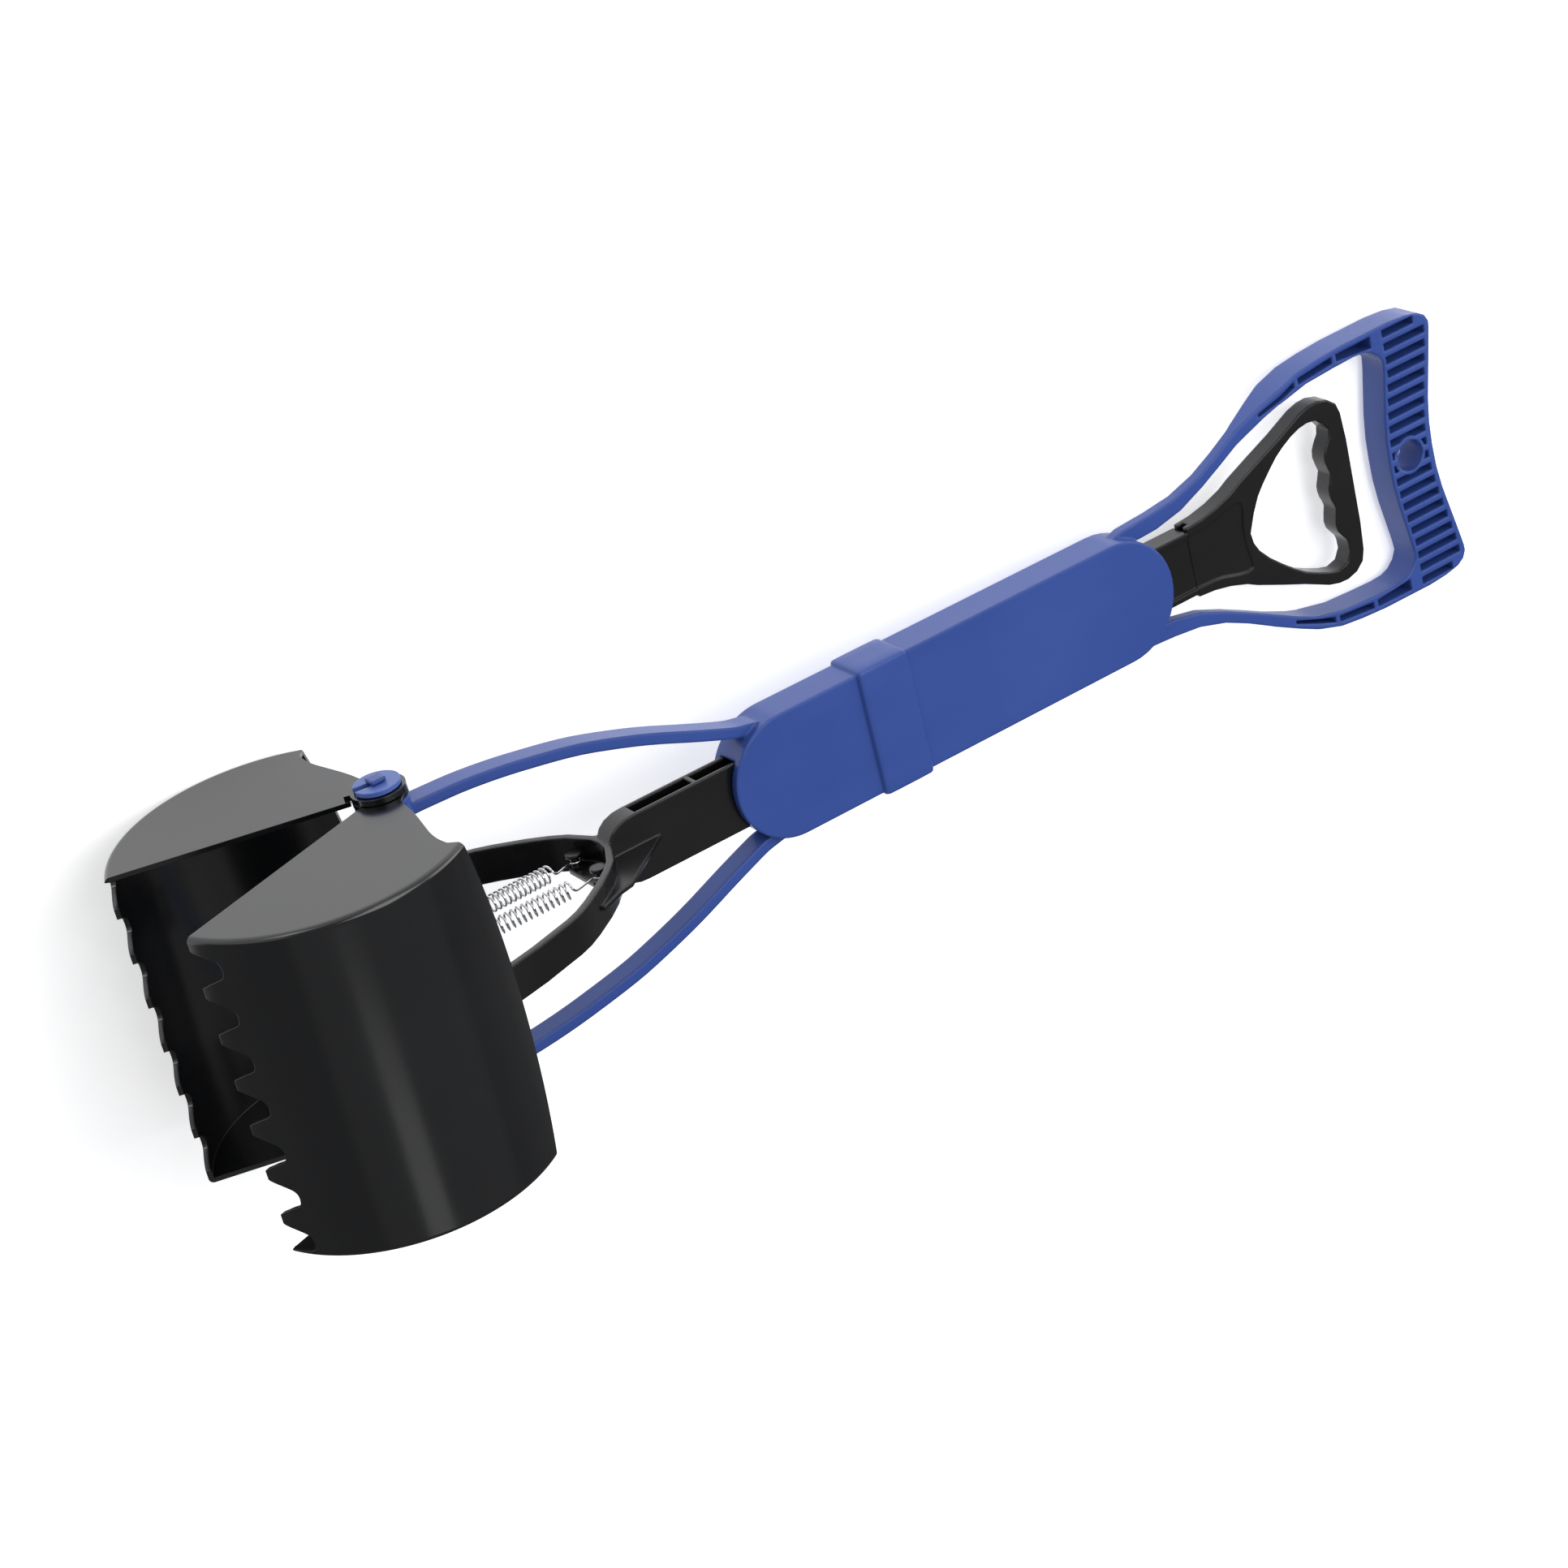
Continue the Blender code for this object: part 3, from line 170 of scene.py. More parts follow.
flat = [(0, 1, 2, 3)]
front_y, right_x, rear_y, ceiling_height = -1.6, 1.9, 2.6, 1.7
floor_area = level((-6.0, -6.0), (6.0, 6.0), 0.0)
ceiling_area = level((-2.0, front_y), (right_x, rear_y), ceiling_height)
card_area = level((0.10, front_y), (right_x, rear_y), 0.0005)
folds = ((-0.35, front_y), (right_x, front_y), (right_x, rear_y), (0.2, rear_y))
screen_corners = [(x, y, z) for x, y in folds for z in (0.0, ceiling_height)]
screen_panels = [(i, i + 2, i + 3, i + 1) for i in (0, 2, 4)]
studio_sheet("studio_floor", floor_area, flat, grey=0.93, glow=0.45)
dark_ceiling_reflection = studio_sheet("painted_reflection_ceiling", ceiling_area, flat, grey=0.05, glow=0.24)
dark_card_reflection = studio_sheet("painted_reflection_card", card_area, flat, grey=0.02, glow=0.14)
dark_screen_reflection = studio_sheet("painted_reflection_screen", screen_corners, screen_panels, grey=0.02, glow=0.17)
# Ceiling, card and screen are hidden from the camera, from diffuse light and from shadows, so they and
# their faint glow only paint dark reflections into glossy surfaces.
for sheet in (dark_ceiling_reflection, dark_card_reflection, dark_screen_reflection):
    sheet.visible_camera = False
    sheet.visible_diffuse = False
    sheet.visible_transmission = False
    sheet.visible_shadow = False


# Jaws: two identical scoops of glossy black ABS, injection moulded, the second turned half a turn. Each
# is one skin: a drum-shaped wall whose front edge is cut into hooked teeth, a rounded corner on either
# side, and a flat end plate running up to an ear that turns on the axle.
def plastic_grain(name):
    """A node group for moulded plastic: a fine noise is the bump of the mould's surface on the normal
    it is given, long faint streaks are the melt's flow, and a broad noise is the drift of tone."""
    group = bpy.data.node_groups.new(name, "ShaderNodeTree")
    sockets = group.interface
    for label in ("Coordinates", "Eased Normal"):
        sockets.new_socket(label, in_out="INPUT", socket_type="NodeSocketVector")
    for label, value in (("Grain Scale", 2500.0), ("Drift Scale", 16.0), ("Depth", 0.00001), ("Flow", 0.2)):
        sockets.new_socket(label, in_out="INPUT", socket_type="NodeSocketFloat").default_value = value
    sockets.new_socket("Drift", in_out="OUTPUT", socket_type="NodeSocketFloat")
    sockets.new_socket("Normal", in_out="OUTPUT", socket_type="NodeSocketVector")
    made = group.nodes.new
    entry, leave = made("NodeGroupInput"), made("NodeGroupOutput")
    fine, broad, flow = (made("ShaderNodeTexNoise") for _ in range(3))
    stretch = made("ShaderNodeMapping")
    stretch.inputs["Scale"].default_value = (60.0, 6.0, 60.0)
    fine.inputs["Detail"].default_value = 2.0
    broad.inputs["Detail"].default_value = 3.0
    flow.inputs["Detail"].default_value = 2.0
    flow.inputs["Scale"].default_value = 1.0
    blend = made("ShaderNodeMix")
    blend.data_type = "FLOAT"
    bump = made("ShaderNodeBump")
    bump.inputs["Strength"].default_value = 1.0
    wire = group.links.new
    wire(entry.outputs["Coordinates"], fine.inputs["Vector"])
    wire(entry.outputs["Coordinates"], broad.inputs["Vector"])
    wire(entry.outputs["Coordinates"], stretch.inputs["Vector"])
    wire(stretch.outputs["Vector"], flow.inputs["Vector"])
    wire(entry.outputs["Grain Scale"], fine.inputs["Scale"])
    wire(entry.outputs["Drift Scale"], broad.inputs["Scale"])
    wire(entry.outputs["Depth"], bump.inputs["Distance"])
    wire(entry.outputs["Flow"], blend.inputs["Factor"])
    wire(broad.outputs["Fac"], blend.inputs["A"])
    wire(flow.outputs["Fac"], blend.inputs["B"])
    wire(fine.outputs["Fac"], bump.inputs["Height"])
    wire(entry.outputs["Eased Normal"], bump.inputs["Normal"])
    wire(blend.outputs["Result"], leave.inputs["Drift"])
    wire(bump.outputs["Normal"], leave.inputs["Normal"])
    return group


mould_grain = plastic_grain("mould_grain")


def moulded_plastic(name, dark, light, smooth, rough, grain_mm, depth, ior, flow, ease):
    """A plastic whose colour and roughness drift between two values with the grain group's drift, and
    whose edges shade as if eased by a radius in metres."""
    made = bpy.data.materials.new(name)
    made.use_nodes = True
    nodes = made.node_tree.nodes
    wire = made.node_tree.links.new
    shader = nodes["Principled BSDF"]
    shader.inputs["IOR"].default_value = ior
    where = nodes.new("ShaderNodeTexCoord")
    surface = nodes.new("ShaderNodeGroup")
    surface.node_tree = mould_grain
    surface.inputs["Grain Scale"].default_value = 1000.0 / grain_mm
    surface.inputs["Depth"].default_value = depth
    surface.inputs["Flow"].default_value = flow
    eased = nodes.new("ShaderNodeBevel")
    eased.samples = 6
    eased.inputs["Radius"].default_value = ease
    wire(eased.outputs["Normal"], surface.inputs["Eased Normal"])
    tone = nodes.new("ShaderNodeValToRGB")
    tone.color_ramp.elements[0].position = 0.35
    tone.color_ramp.elements[1].position = 0.65
    tone.color_ramp.elements[0].color = (*dark, 1.0)
    tone.color_ramp.elements[1].color = (*light, 1.0)
    gloss = nodes.new("ShaderNodeMapRange")
    gloss.inputs["From Min"].default_value = 0.35
    gloss.inputs["From Max"].default_value = 0.65
    gloss.inputs["To Min"].default_value = smooth
    gloss.inputs["To Max"].default_value = rough
    wire(where.outputs["Object"], surface.inputs["Coordinates"])
    wire(surface.outputs["Drift"], tone.inputs["Fac"])
    wire(surface.outputs["Drift"], gloss.inputs["Value"])
    wire(tone.outputs["Color"], shader.inputs["Base Color"])
    wire(gloss.outputs["Result"], shader.inputs["Roughness"])
    wire(surface.outputs["Normal"], shader.inputs["Normal"])
    return made


jaw_black = moulded_plastic(
    "glossy_black_plastic", dark=(0.0030, 0.0034, 0.0042), light=(0.0042, 0.0047, 0.0057),
    smooth=0.17, rough=0.22, grain_mm=1.6, depth=0.000002, ior=1.58, flow=0.15, ease=0.0003,
)

# The jaw's sizes in millimetres and degrees, about the axle, with the mouth's plane at Z = 0.
drum_radius, drum_y, skin, corner, half_width = 66.0, -42.5, 2.0, 2.2, 69.6
back_edge, back_bow, mouth_gap, frill_width = -14.4, 8.8, 0.3, 0.9
ear_radius, ear_gap, bore_radius, bore_points = 11.0, 0.5, 4.5, 48
step_radius, step_from, step_to = 13.5, -14.0, -88.0
raised_ear_sides, skirt_sides = (69.9, 72.3), (68.6, 70.4)
cheek_sides, cheek_half, cheek_top, cheek_root_radius = ((-10.5, -8.0), (8.0, 10.5)), 4.4, 50.05, 65.0
slot_radius, slot_high, slot_low = 1.75, 54.0, 57.35
rest_angle = 20.0
wall_rows, flat_columns, bend_columns = 57, 271, 7
sharp_angle = math.radians(35.0)
tooth_pitch, tooth_start = 20.0, -67.7
tooth_x = (0.0, 3.9, 5.0, 6.0, 7.3, 8.8, 10.2, 12.0, 13.6, 14.9, 16.0, 18.0, 19.5, 20.0)
tooth_cut = (0.0, 0.0, 4.2, 8.0, 11.4, 12.6, 12.9, 12.8, 12.3, 10.7, 7.5, 3.4, 0.0, 0.0)
neck_step = 1.2
neck_line = (
    (56.6, -24.8), (50.9, -23.5), (44.7, -20.7), (38.3, -16.7),
    (29.3, -11.0), (22.0, -7.0), (18.0, -5.3), (13.5, -2.4),
)


def circle(radius, first, last, count, centre=(0.0, 0.0)):
    """Points of an arc between two angles in degrees, as (outward, upward) pairs."""
    turns = np.radians(np.linspace(first, last, count))
    return np.stack((centre[0] + radius * np.cos(turns), centre[1] + radius * np.sin(turns)), axis=1)


def bore(radius):
    """The points of a full circle about the axle."""
    return circle(radius, 0.0, 360.0 - 360.0 / bore_points, bore_points)


def smooth_line(points, step):
    """A line through points, read off again every step along it and eased by a three-point mean."""
    points = np.asarray(points, float)
    run = np.concatenate(((0.0,), np.cumsum(np.linalg.norm(np.diff(points, axis=0), axis=1))))
    at = np.linspace(0.0, run[-1], max(int(run[-1] / step), 2) + 1)
    line = np.stack([np.interp(at, run, points[:, i]) for i in range(points.shape[1])], axis=1)
    for _ in range(3):
        line[1:-1] = (line[:-2] + line[1:-1] + line[2:]) / 3.0
    return line


def inset(loop, distance):
    """A closed loop moved inwards along the normal of the chord between each point's two neighbours."""
    chord = np.roll(loop, -1, axis=0) - np.roll(loop, 1, axis=0)
    chord /= np.linalg.norm(chord, axis=1)[:, None]
    area = np.sum(loop[:, 0] * np.roll(loop[:, 1], -1) - loop[:, 1] * np.roll(loop[:, 0], -1))
    return loop + math.copysign(distance, area) * np.stack((-chord[:, 1], chord[:, 0]), axis=1)


def flat_fill(loops):
    """Triangles that fill the outer loop less the holes, all turned the anticlockwise way."""
    spots = np.concatenate(loops)
    faces = np.array(tessellate_polygon([[Vector((*spot, 0.0)) for spot in loop] for loop in loops]))
    a, b, c = spots[faces[:, 0]], spots[faces[:, 1]], spots[faces[:, 2]]
    side = (b[:, 0] - a[:, 0]) * (c[:, 1] - a[:, 1]) - (b[:, 1] - a[:, 1]) * (c[:, 0] - a[:, 0])
    return np.where(side[:, None] < 0.0, faces[:, ::-1], faces)[np.abs(side) > 1e-9]


def band(first, second):
    """Quads between two closed rows of point numbers."""
    return np.stack((first, np.roll(first, -1), np.roll(second, -1), second), axis=1)


def jaw_wall():
    """The outside of a jaw's wall: a grid of x and the angle round the drum, whose lowest angle follows
    the teeth and whose highest follows the bowed back edge. Its last columns bend round a quarter
    circle towards the end plates. Gives its points, their normals and the grid of their numbers."""
    bend = np.linspace(0.0, math.pi / 2, bend_columns + 1)[1:]
    middle = np.linspace(corner - half_width, half_width - corner, flat_columns)
    side = half_width - corner + corner * np.sin(bend)
    x = np.concatenate((-side[::-1], middle, side))
    lean = np.concatenate((-bend[::-1], np.zeros(middle.size), bend))
    radius = drum_radius - corner * (1.0 - np.cos(lean))
    turn = (x - tooth_start) / tooth_pitch
    cut = np.interp(turn % 1.0 * tooth_pitch, tooth_x, tooth_cut)
    cut = np.where((turn < 0.0) | (x > half_width - skin), 0.0, cut)
    eased = (cut[:-2] + cut[1:-1] * 2.0 + cut[2:]) / 4.0
    cut[bend_columns + 1 : -bend_columns - 1] = eased[bend_columns:-bend_columns]
    low = np.arcsin(np.maximum(cut, mouth_gap) / radius) - math.pi / 2
    high = np.arcsin((back_edge - back_bow * (x / half_width) ** 2 - drum_y) / radius)
    angle = low + (high - low) * np.linspace(0.0, 1.0, wall_rows)[:, None]
    sine, cosine = np.sin(angle), np.cos(angle)
    points = np.broadcast_arrays(x, drum_y + radius * sine, radius * cosine)
    normals = np.broadcast_arrays(np.sin(lean), np.cos(lean) * sine, np.cos(lean) * cosine)
    points, normals = (np.stack(item, axis=-1).reshape(-1, 3) for item in (points, normals))
    return points, normals, np.arange(angle.size).reshape(angle.shape)


def end_plate(wall_edge, wall_number, start, way_out):
    """A flat end plate from the edge of the wall to the ear, with its new points numbered from start: a
    narrow frill of quads along its outline, and round the bore on the left, and triangles within."""
    if way_out < 0.0:
        ear = circle(ear_radius, 8.0, 266.0, 44)
        rim = np.concatenate((smooth_line(neck_line, neck_step), ear, ((mouth_gap, -ear_radius),)))
    else:
        ear = circle(ear_radius + ear_gap, step_from, step_to - 0.5, 15)
        rim = np.concatenate((smooth_line(neck_line, neck_step), ear))
    inner = inset(np.concatenate((wall_edge[:, (2, 1)], rim)), frill_width)
    border = np.concatenate((wall_number, start + np.arange(len(rim))))
    inner_number = start + len(rim) + np.arange(len(inner))
    made, loops, numbers = [rim, inner], [inner], inner_number
    quads = [band(border, inner_number)]
    if way_out < 0.0:
        land = bore(bore_radius + frill_width)
        land_number = inner_number[-1] + 1 + np.arange(bore_points)
        quads.append(band(land_number + bore_points, land_number)[:, ::-1])
        made += [land, bore(bore_radius)]
        loops.append(land)
        numbers = np.concatenate((numbers, land_number))
    quads, triangles = np.concatenate(quads), numbers[flat_fill(loops)]
    if way_out > 0.0:
        quads, triangles = quads[:, ::-1], triangles[:, ::-1]
    made = np.concatenate(made)
    points = np.stack((np.full(len(made), way_out * half_width), made[:, 1], made[:, 0]), axis=1)
    return points, np.tile((way_out, 0.0, 0.0), (len(made), 1)), quads, triangles


def jaw_skin():
    """The outer skin of a jaw, open at the mouth and the back: the wall and its two end plates."""
    points, normals, number = jaw_wall()
    quads = np.stack((number[:-1, :-1], number[:-1, 1:], number[1:, 1:], number[1:, :-1]), axis=-1)
    left = end_plate(points[number[:, 0]], number[:, 0], len(points), -1.0)
    right = end_plate(points[number[:, -1]], number[:, -1], len(points) + len(left[0]), 1.0)
    points = np.concatenate((points, left[0], right[0]))
    normals = np.concatenate((normals, left[1], right[1]))
    quads = np.concatenate((quads.reshape(-1, 4), left[2], right[2]))
    return points, normals, quads, np.concatenate((left[3], right[3]))


def thicken(points, normals, quads, triangles, thickness):
    """A closed wall: the skin, the same skin carried inwards along its normals and turned over, and a
    strip of quads along every edge that only one face of the skin has."""
    count = len(points)
    edges = [np.stack((quads[:, i], quads[:, (i + 1) % 4]), axis=1) for i in range(4)]
    edges += [np.stack((triangles[:, i], triangles[:, (i + 1) % 3]), axis=1) for i in range(3)]
    edges = np.concatenate(edges)
    lone = ~np.isin(edges[:, 0] * count + edges[:, 1], edges[:, 1] * count + edges[:, 0])
    a, b = edges[lone].T
    rim = np.stack((b, a, a + count, b + count), axis=1)
    points = np.concatenate((points, points - thickness * normals))
    quads = np.concatenate((quads, quads[:, ::-1] + count, rim))
    return points, quads, np.concatenate((triangles, triangles[:, ::-1] + count))


def slab(loops, low_x, high_x):
    """A flat plate with its thickness along X: its outline and holes filled at both ends, with a strip
    of quads along each outline."""
    loops = [np.asarray(loop, float) for loop in loops]
    spots = np.concatenate(loops)
    count = len(spots)
    fill = flat_fill(loops)
    ends = [np.stack((np.full(count, x), spots[:, 1], spots[:, 0]), axis=1) for x in (low_x, high_x)]
    triangles = np.concatenate((fill, fill[:, ::-1] + count))
    quads, start = [], 0
    for i, loop in enumerate(loops):
        row = start + np.arange(len(loop))
        strip = band(row, row + count)
        turned = np.sum(loop[:, 0] * np.roll(loop[:, 1], -1) - loop[:, 1] * np.roll(loop[:, 0], -1)) > 0.0
        quads.append(strip[:, ::-1] if turned == (i == 0) else strip)
        start += len(loop)
    return np.concatenate(ends), np.concatenate(quads), triangles


def together(shapes):
    """Several (points, quads, triangles) shapes as one, with their point numbers carried on."""
    starts = np.cumsum([0] + [len(shape[0]) for shape in shapes])
    points = np.concatenate([shape[0] for shape in shapes])
    quads = np.concatenate([shape[1] + start for shape, start in zip(shapes, starts)])
    triangles = np.concatenate([shape[2] + start for shape, start in zip(shapes, starts)])
    return points, quads, triangles


def tip(points, degrees):
    """Points turned about the axle, X."""
    c, s = math.cos(math.radians(degrees)), math.sin(math.radians(degrees))
    return points @ np.array(((1.0, 0.0, 0.0), (0.0, c, s), (0.0, -s, c)))


def dress(node, mesh, body, finish, width, segments=2):
    """A mesh made the visible piece of a node: its sharp edges rounded by the mould's small radius in
    millimetres, its curved faces shaded smooth, its flat faces kept flat, and set to ride a body."""
    mesh.shade_smooth()
    mesh.set_sharp_from_angle(angle=sharp_angle)
    mesh.materials.clear()
    mesh.materials.append(finish)
    piece = into_scene(node + "_moulding", mesh)
    rounding = piece.modifiers.new("mould_radius", "BEVEL")
    rounding.width = width * 0.001
    rounding.segments = segments
    rounding.limit_method = "ANGLE"
    rounding.angle_limit = sharp_angle
    flatten = piece.modifiers.new("flat_faces", "WEIGHTED_NORMAL")
    flatten.keep_sharp = True
    flatten.weight = 80
    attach(piece, body)
    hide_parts(node)


wall = thicken(*jaw_skin(), skin)
step_arc = circle(step_radius, step_from, step_to, 16)
ear_arc = circle(ear_radius, -94.0, -365.0, 48)
skirt_arc = circle(ear_radius + ear_gap, step_to, step_from, 16)
raised_outline = np.concatenate((step_arc, ((mouth_gap, -ear_radius),), ear_arc))
raised_ear = slab((raised_outline, bore(bore_radius)), *raised_ear_sides)
skirt = slab((np.concatenate((step_arc, skirt_arc)),), *skirt_sides)
moulding = together((wall, raised_ear, skirt))

drum_z = drum_y * -math.sin(math.radians(rest_angle))
drum_side = drum_y * math.cos(math.radians(rest_angle))
cheek_edge = np.array((-cheek_half, 0.0, cheek_half))
cheek_root = drum_z + np.sqrt(cheek_root_radius**2 - (cheek_edge - drum_side) ** 2)
cheek_foot = np.stack((cheek_root, cheek_edge), axis=1)
cheek_line = np.concatenate((((cheek_top, -cheek_half),), cheek_foot, ((cheek_top, cheek_half),)))
slot_foot = circle(slot_radius, -90.0, 90.0, 14, (slot_low, 0.0))
slot_head = circle(slot_radius, 90.0, 270.0, 14, (slot_high, 0.0))
pin_slot = np.concatenate((slot_foot, slot_head))
cheeks = together([slab((cheek_line, pin_slot), *sides) for sides in cheek_sides])

front = together(((tip(moulding[0], -rest_angle), *moulding[1:]), cheeks))
half_turn = np.array((-1.0, 1.0, -1.0))
rear = (front[0] * half_turn, *front[1:])
for jaw, (points, quads, triangles) in (("front_jaw", front), ("rear_jaw", rear)):
    mesh = bpy.data.meshes.new(jaw + "_moulding")
    mesh.from_pydata(place(points).tolist(), [], quads.tolist() + triangles.tolist())
    dress(jaw, mesh, jaw, jaw_black, width=0.3)


# Lower frame: the lower half of the sleeve with its raised band, and the two arms that bend out to the
# axle, of blue polypropylene in one moulding. The arms end in round bosses that carry the axle's ends.
def onward(vert, edge, limit):
    """The unit direction and length of the edge that goes on from a vertex with the least turn."""
    ahead = (vert.co - edge.other_vert(vert).co).normalized()
    best = None
    for other in vert.link_edges:
        step = other.other_vert(vert).co - vert.co
        if other is edge or step.length < 1e-6:
            continue
        turn = ahead.angle(step)
        if turn < limit and (best is None or turn < best[0]):
            best = (turn, step.normalized(), step.length)
    return best


def round_out(shape, rounds):
    """Curved outlines with twice the points in each round. A new point in the middle of an edge moves
    out by a sixteenth of what the edges before and after it turn away, so bends become smooth curves
    and straight edges and corners stay."""
    least, limit = math.radians(1.5), math.radians(33.0)
    shortest, longest = 0.0004, 0.060
    for _ in range(rounds):
        shifts = {}
        for edge in shape.edges:
            first, last = edge.verts
            span = last.co - first.co
            before, after = onward(first, edge, limit), onward(last, edge, limit)
            if not (before and after) or not shortest <= span.length <= longest:
                continue
            if max(before[0], after[0]) < least:
                continue
            reach = min(span.length, 1.5 * before[2], 1.5 * after[2])
            shifts[edge] = -(before[1] + after[1]) * reach / 16.0
        middles = kdtree.KDTree(len(shifts))
        moves = list(shifts.values())
        for i, edge in enumerate(shifts):
            middles.insert((edge.verts[0].co + edge.verts[1].co) / 2, i)
        middles.balance()
        made = bmesh.ops.subdivide_edges(shape, edges=list(shifts), cuts=1, use_grid_fill=True)
        for vert in {item for item in made["geom_inner"] if isinstance(item, bmesh.types.BMVert)}:
            _, i, distance = middles.find(vert.co)
            if distance < 1e-6:
                vert.co += moves[i]


def moulded_copy(node, body, finish, width, segments=2, rounds=0):
    """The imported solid's own shape with its flat facets merged into whole faces and its curves made
    finer in some rounds, dressed as the node's visible piece."""
    mesh = frame["nodes"][node].data.copy()
    shape = bmesh.new()
    shape.from_mesh(mesh)
    bmesh.ops.remove_doubles(shape, verts=shape.verts, dist=1e-6)
    flat_limit = math.radians(0.4)
    bmesh.ops.dissolve_limit(shape, angle_limit=flat_limit, verts=shape.verts, edges=shape.edges)
    round_out(shape, rounds)
    shape.to_mesh(mesh)
    shape.free()
    dress(node, mesh, body, finish, width, segments)


blue = moulded_plastic(
    "blue_polypropylene", dark=(0.027, 0.062, 0.262), light=(0.031, 0.070, 0.287),
    smooth=0.26, rough=0.36, grain_mm=0.6, depth=0.000004, ior=1.38, flow=0.3, ease=0.0018,
)
moulded_copy("lower_frame", "frame", blue, width=0.5, rounds=2)

# Upper frame: the upper half of the sleeve, plugged into the band, with the loop handle and its slotted
# bar, moulded in one piece in the same blue.
moulded_copy("upper_frame", "frame", blue, width=0.35)

# Fork rod: the flat pull rod, grooved along its sides, with the two bent straps that push the jaws, their
# gussets and the pegs for the springs, moulded in satin black polypropylene.
black = moulded_plastic(
    "black_polypropylene", dark=(0.0028, 0.0028, 0.0031), light=(0.0045, 0.0045, 0.0049),
    smooth=0.2, rough=0.3, grain_mm=0.5, depth=0.000004, ior=1.48, flow=0.3, ease=0.0014,
)
moulded_copy("fork_rod", "pull_rod", black, width=0.35)

# Pull grip: the finger grip with its three grooves, snapped over the top of the rod, in the same black.
moulded_copy("pull_grip", "pull_rod", black, width=0.3)

# Axle clips: two round keepers of a lighter blue, each slid sideways over the neck of an axle end until
# the keyhole snaps round it.
light_blue = moulded_plastic(
    "light_blue_polypropylene", dark=(0.062, 0.112, 0.36), light=(0.072, 0.126, 0.39),
    smooth=0.3, rough=0.4, grain_mm=0.6, depth=0.000004, ior=1.42, flow=0.3, ease=0.0006,
)
moulded_copy("axle_clip_left", "frame", light_blue, width=0.35, segments=3)
moulded_copy("axle_clip_right", "frame", light_blue, width=0.35, segments=3)


# Springs: two return springs of bright drawn steel wire, each one unbroken length with a hook at either
# end, the lower one round the cross rod and the upper one round a peg of the fork rod.
def drawn_metal(name, colour, smooth, rough, streak_scale):
    """Drawn or ground steel: fine streaks, stretched along the tool, vary its gloss and its bump."""
    made = bpy.data.materials.new(name)
    made.use_nodes = True
    nodes = made.node_tree.nodes
    wire = made.node_tree.links.new
    shader = nodes["Principled BSDF"]
    shader.inputs["Base Color"].default_value = (*colour, 1.0)
    shader.inputs["Metallic"].default_value = 1.0
    where = nodes.new("ShaderNodeTexCoord")
    stretch = nodes.new("ShaderNodeMapping")
    stretch.inputs["Scale"].default_value = streak_scale
    streaks = nodes.new("ShaderNodeTexNoise")
    streaks.inputs["Scale"].default_value = 1.0
    streaks.inputs["Detail"].default_value = 2.0
    gloss = nodes.new("ShaderNodeMapRange")
    gloss.inputs["From Min"].default_value = 0.3
    gloss.inputs["From Max"].default_value = 0.7
    gloss.inputs["To Min"].default_value = smooth
    gloss.inputs["To Max"].default_value = rough
    bump = nodes.new("ShaderNodeBump")
    bump.inputs["Strength"].default_value = 1.0
    bump.inputs["Distance"].default_value = 0.000004
    wire(where.outputs["Object"], stretch.inputs["Vector"])
    wire(stretch.outputs["Vector"], streaks.inputs["Vector"])
    wire(streaks.outputs["Fac"], gloss.inputs["Value"])
    wire(streaks.outputs["Fac"], bump.inputs["Height"])
    wire(gloss.outputs["Result"], shader.inputs["Roughness"])
    wire(bump.outputs["Normal"], shader.inputs["Normal"])
    return made


def spring_path(foot, head, low_hook, top_hook, lead, radius, coils):
    """The wire's middle line. In the spring's own axes it is an open ring about the foot, a straight
    lead, coils at an even pitch, another lead, and an open ring about the head, with its bends eased."""
    length = np.linalg.norm(head - foot)
    rise = (head - foot) / length
    side = across - rise * (across @ rise)
    side /= np.linalg.norm(side)
    sweep, ring_points = math.radians(285.0), 60
    a = np.linspace(math.pi * 5 / 2 - sweep, math.pi * 5 / 2, ring_points)
    foot_ring = np.stack((0 * a, -low_hook * np.cos(a), low_hook * np.sin(a)), axis=1)
    a = np.linspace(0.0, 2 * math.pi * coils, coils * 30 + 1)
    turns = (radius * np.sin(a), -radius * np.cos(a), lead + (length - 2 * lead) * a / a[-1])
    turns = np.stack(turns, axis=1)
    a = np.linspace(math.pi * 3 / 2, math.pi * 3 / 2 + sweep, ring_points)
    head_ring = np.stack((0 * a, -top_hook * np.cos(a), length + top_hook * np.sin(a)), axis=1)
    share = np.linspace(0.0, 1.0, 16)[1:-1, None]
    leads = [b[:1] * share + a[-1:] * (1.0 - share) for a, b in ((foot_ring, turns), (turns, head_ring))]
    path = np.concatenate((foot_ring, leads[0], turns, leads[1], head_ring))
    for _ in range(6):
        path[1:-1] = (path[:-2] + path[1:-1] + path[2:]) / 3.0
    stand = np.clip((path[:, 2] - low_hook) / (lead - low_hook), 0.0, 1.0)
    stand = np.minimum(stand, np.clip((length - top_hook - path[:, 2]) / (lead - top_hook), 0.0, 1.0))
    ahead = np.cos(stand * math.pi / 2)[:, None]
    guide = ahead * np.array((1.0, 0.0, 0.0)) - np.sqrt(1.0 - ahead**2) * np.array((0.0, 0.0, 1.0))
    turn_back = np.stack((side, np.cross(rise, side), rise))
    return foot + path @ turn_back, guide @ turn_back


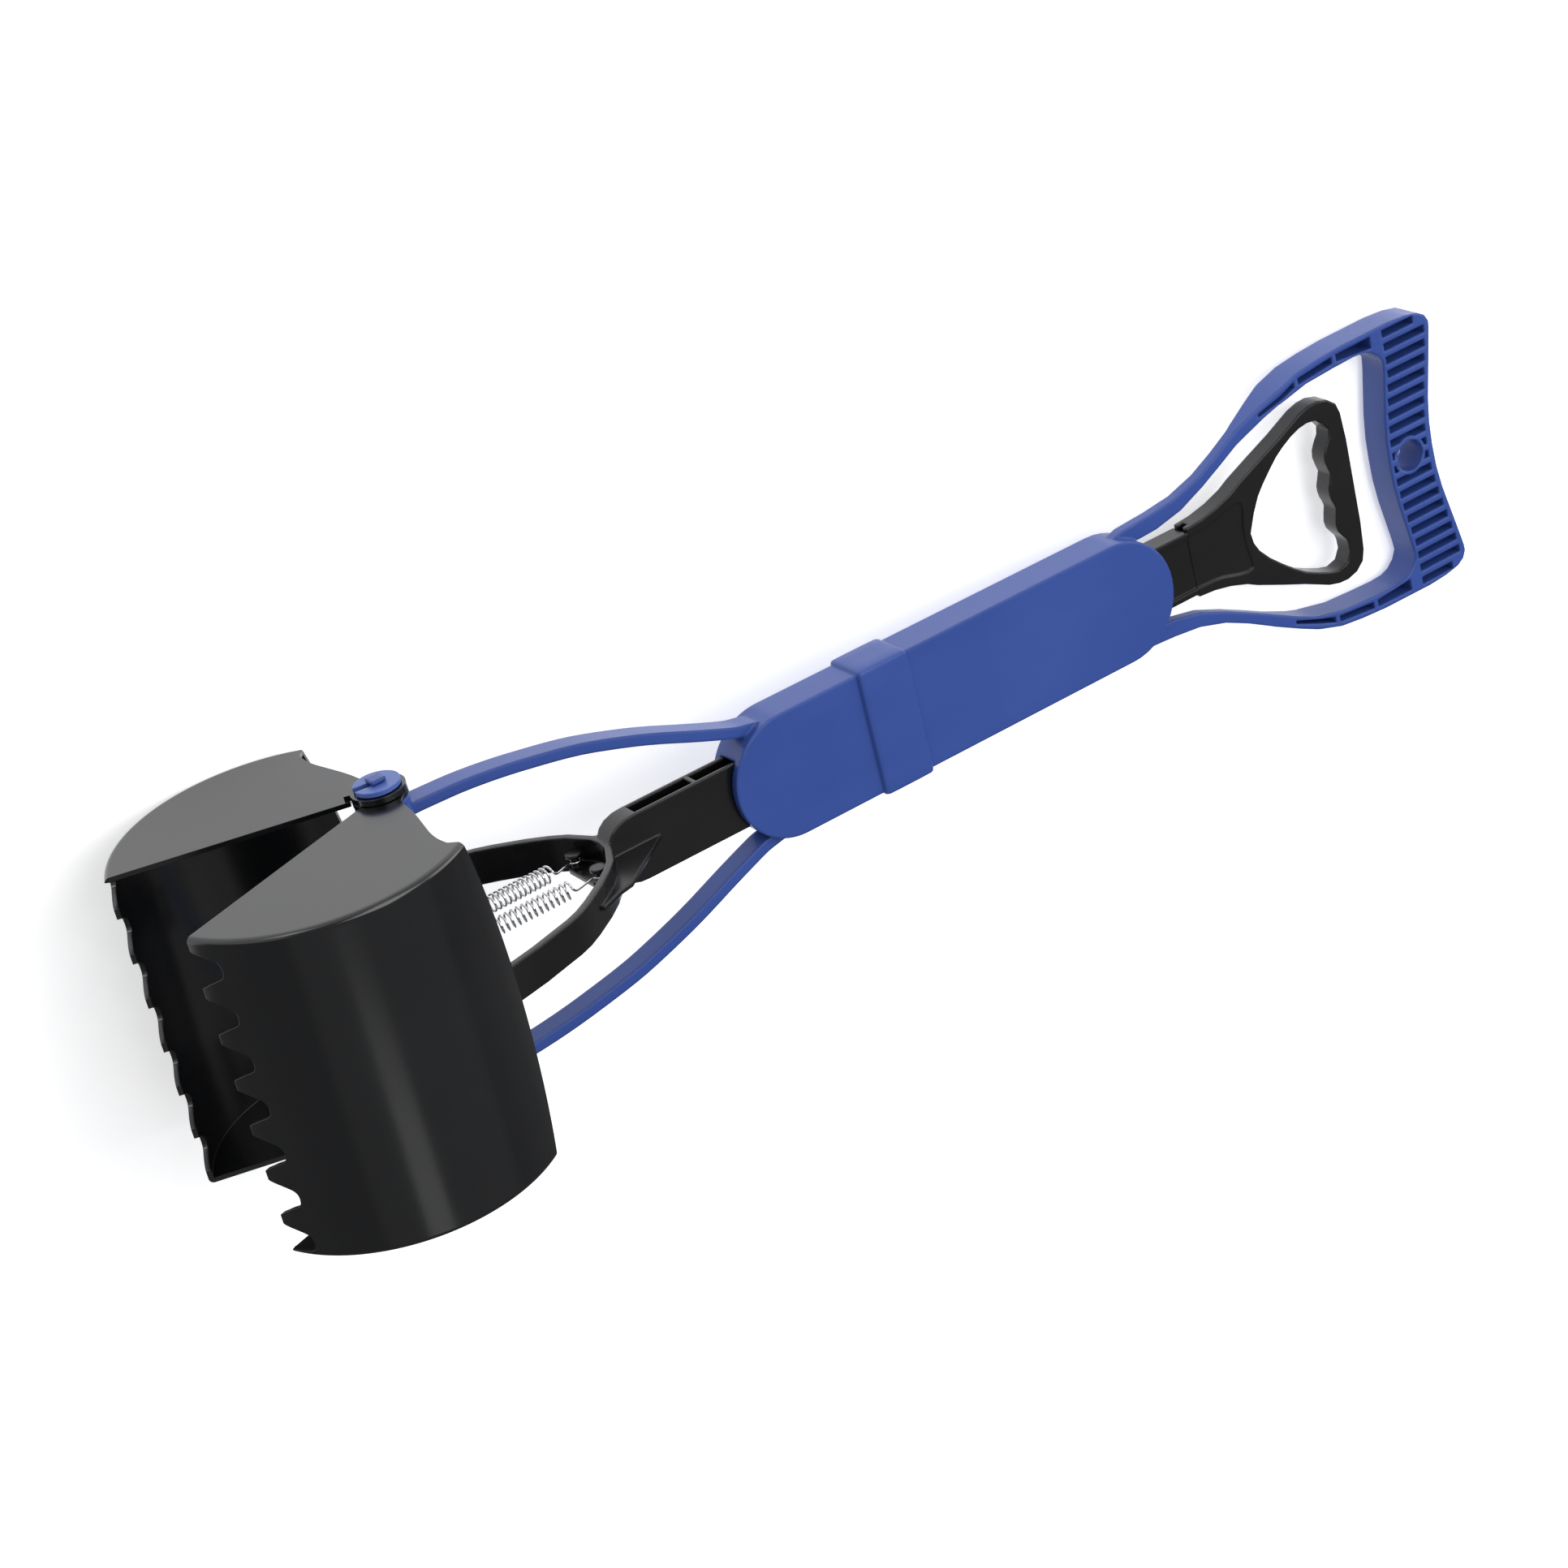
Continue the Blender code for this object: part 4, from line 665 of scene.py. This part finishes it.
def tube(path, guide, radius, sides):
    """A round tube: at each point of the path a ring in the plane across its direction, starting from
    the guide direction, and over each end a fan that bulges out by three tenths of the radius."""
    along = np.gradient(path, axis=0)
    along /= np.linalg.norm(along, axis=1)[:, None]
    first = guide - along * np.sum(guide * along, axis=1)[:, None]
    first /= np.linalg.norm(first, axis=1)[:, None]
    second = np.cross(along, first)
    turns = np.arange(sides) * 2 * math.pi / sides
    ring = first[:, None] * np.cos(turns)[:, None] + second[:, None] * np.sin(turns)[:, None]
    points = (path[:, None] + radius * ring).reshape(-1, 3)
    number = np.arange(len(points)).reshape(-1, sides)
    following = np.roll(number, -1, axis=1)
    quads = np.stack((number[:-1], following[:-1], following[1:], number[1:]), axis=-1).reshape(-1, 4)
    poles = (len(points), len(points) + 1)
    low_fan = np.stack((following[0], number[0], np.full(sides, poles[0])), axis=1)
    high_fan = np.stack((number[-1], following[-1], np.full(sides, poles[1])), axis=1)
    ends = path[(0, -1),] + along[(0, -1),] * np.array(((-0.3,), (0.3,))) * radius
    return np.concatenate((points, ends)), quads, np.concatenate((low_fan, high_fan))


spring_steel = drawn_metal(
    "spring_wire_steel", (0.72, 0.72, 0.73), smooth=0.14, rough=0.28, streak_scale=(900.0, 300.0, 900.0)
)
foot_x, peg_y, peg_z = 5.0, 74.2, 9.9
for name, side in (("front_spring", 1.0), ("rear_spring", -1.0)):
    foot, head = np.array((side * foot_x, 0.0, 0.0)), np.array((0.0, peg_y, side * peg_z))
    path, guide = spring_path(foot, head, low_hook=2.375, top_hook=2.575, lead=13.0, radius=3.675, coils=20)
    points, quads, triangles = tube(path, guide, radius=0.475, sides=10)
    mesh = bpy.data.meshes.new(name + "_wire")
    mesh.from_pydata(place(points).tolist(), [], quads.tolist() + triangles.tolist())
    mesh.shade_smooth()
    mesh.materials.append(spring_steel)
    coil = into_scene(name + "_wire", mesh)
    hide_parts(name)
    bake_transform(coil)

# Pins: plain ground steel. The cross rod runs between the two arms and holds the springs' lower hooks,
# and a short pin in the end of each strap slides in the slotted cheeks inside its jaw.
pin_steel = drawn_metal(
    "pin_steel", (0.42, 0.42, 0.43), smooth=0.2, rough=0.36, streak_scale=(300.0, 900.0, 900.0)
)
moulded_copy("spring_cross_rod", "frame", pin_steel, width=0.2)
moulded_copy("front_strap_pin", "pull_rod", pin_steel, width=0.2)
moulded_copy("rear_strap_pin", "pull_rod", pin_steel, width=0.2)
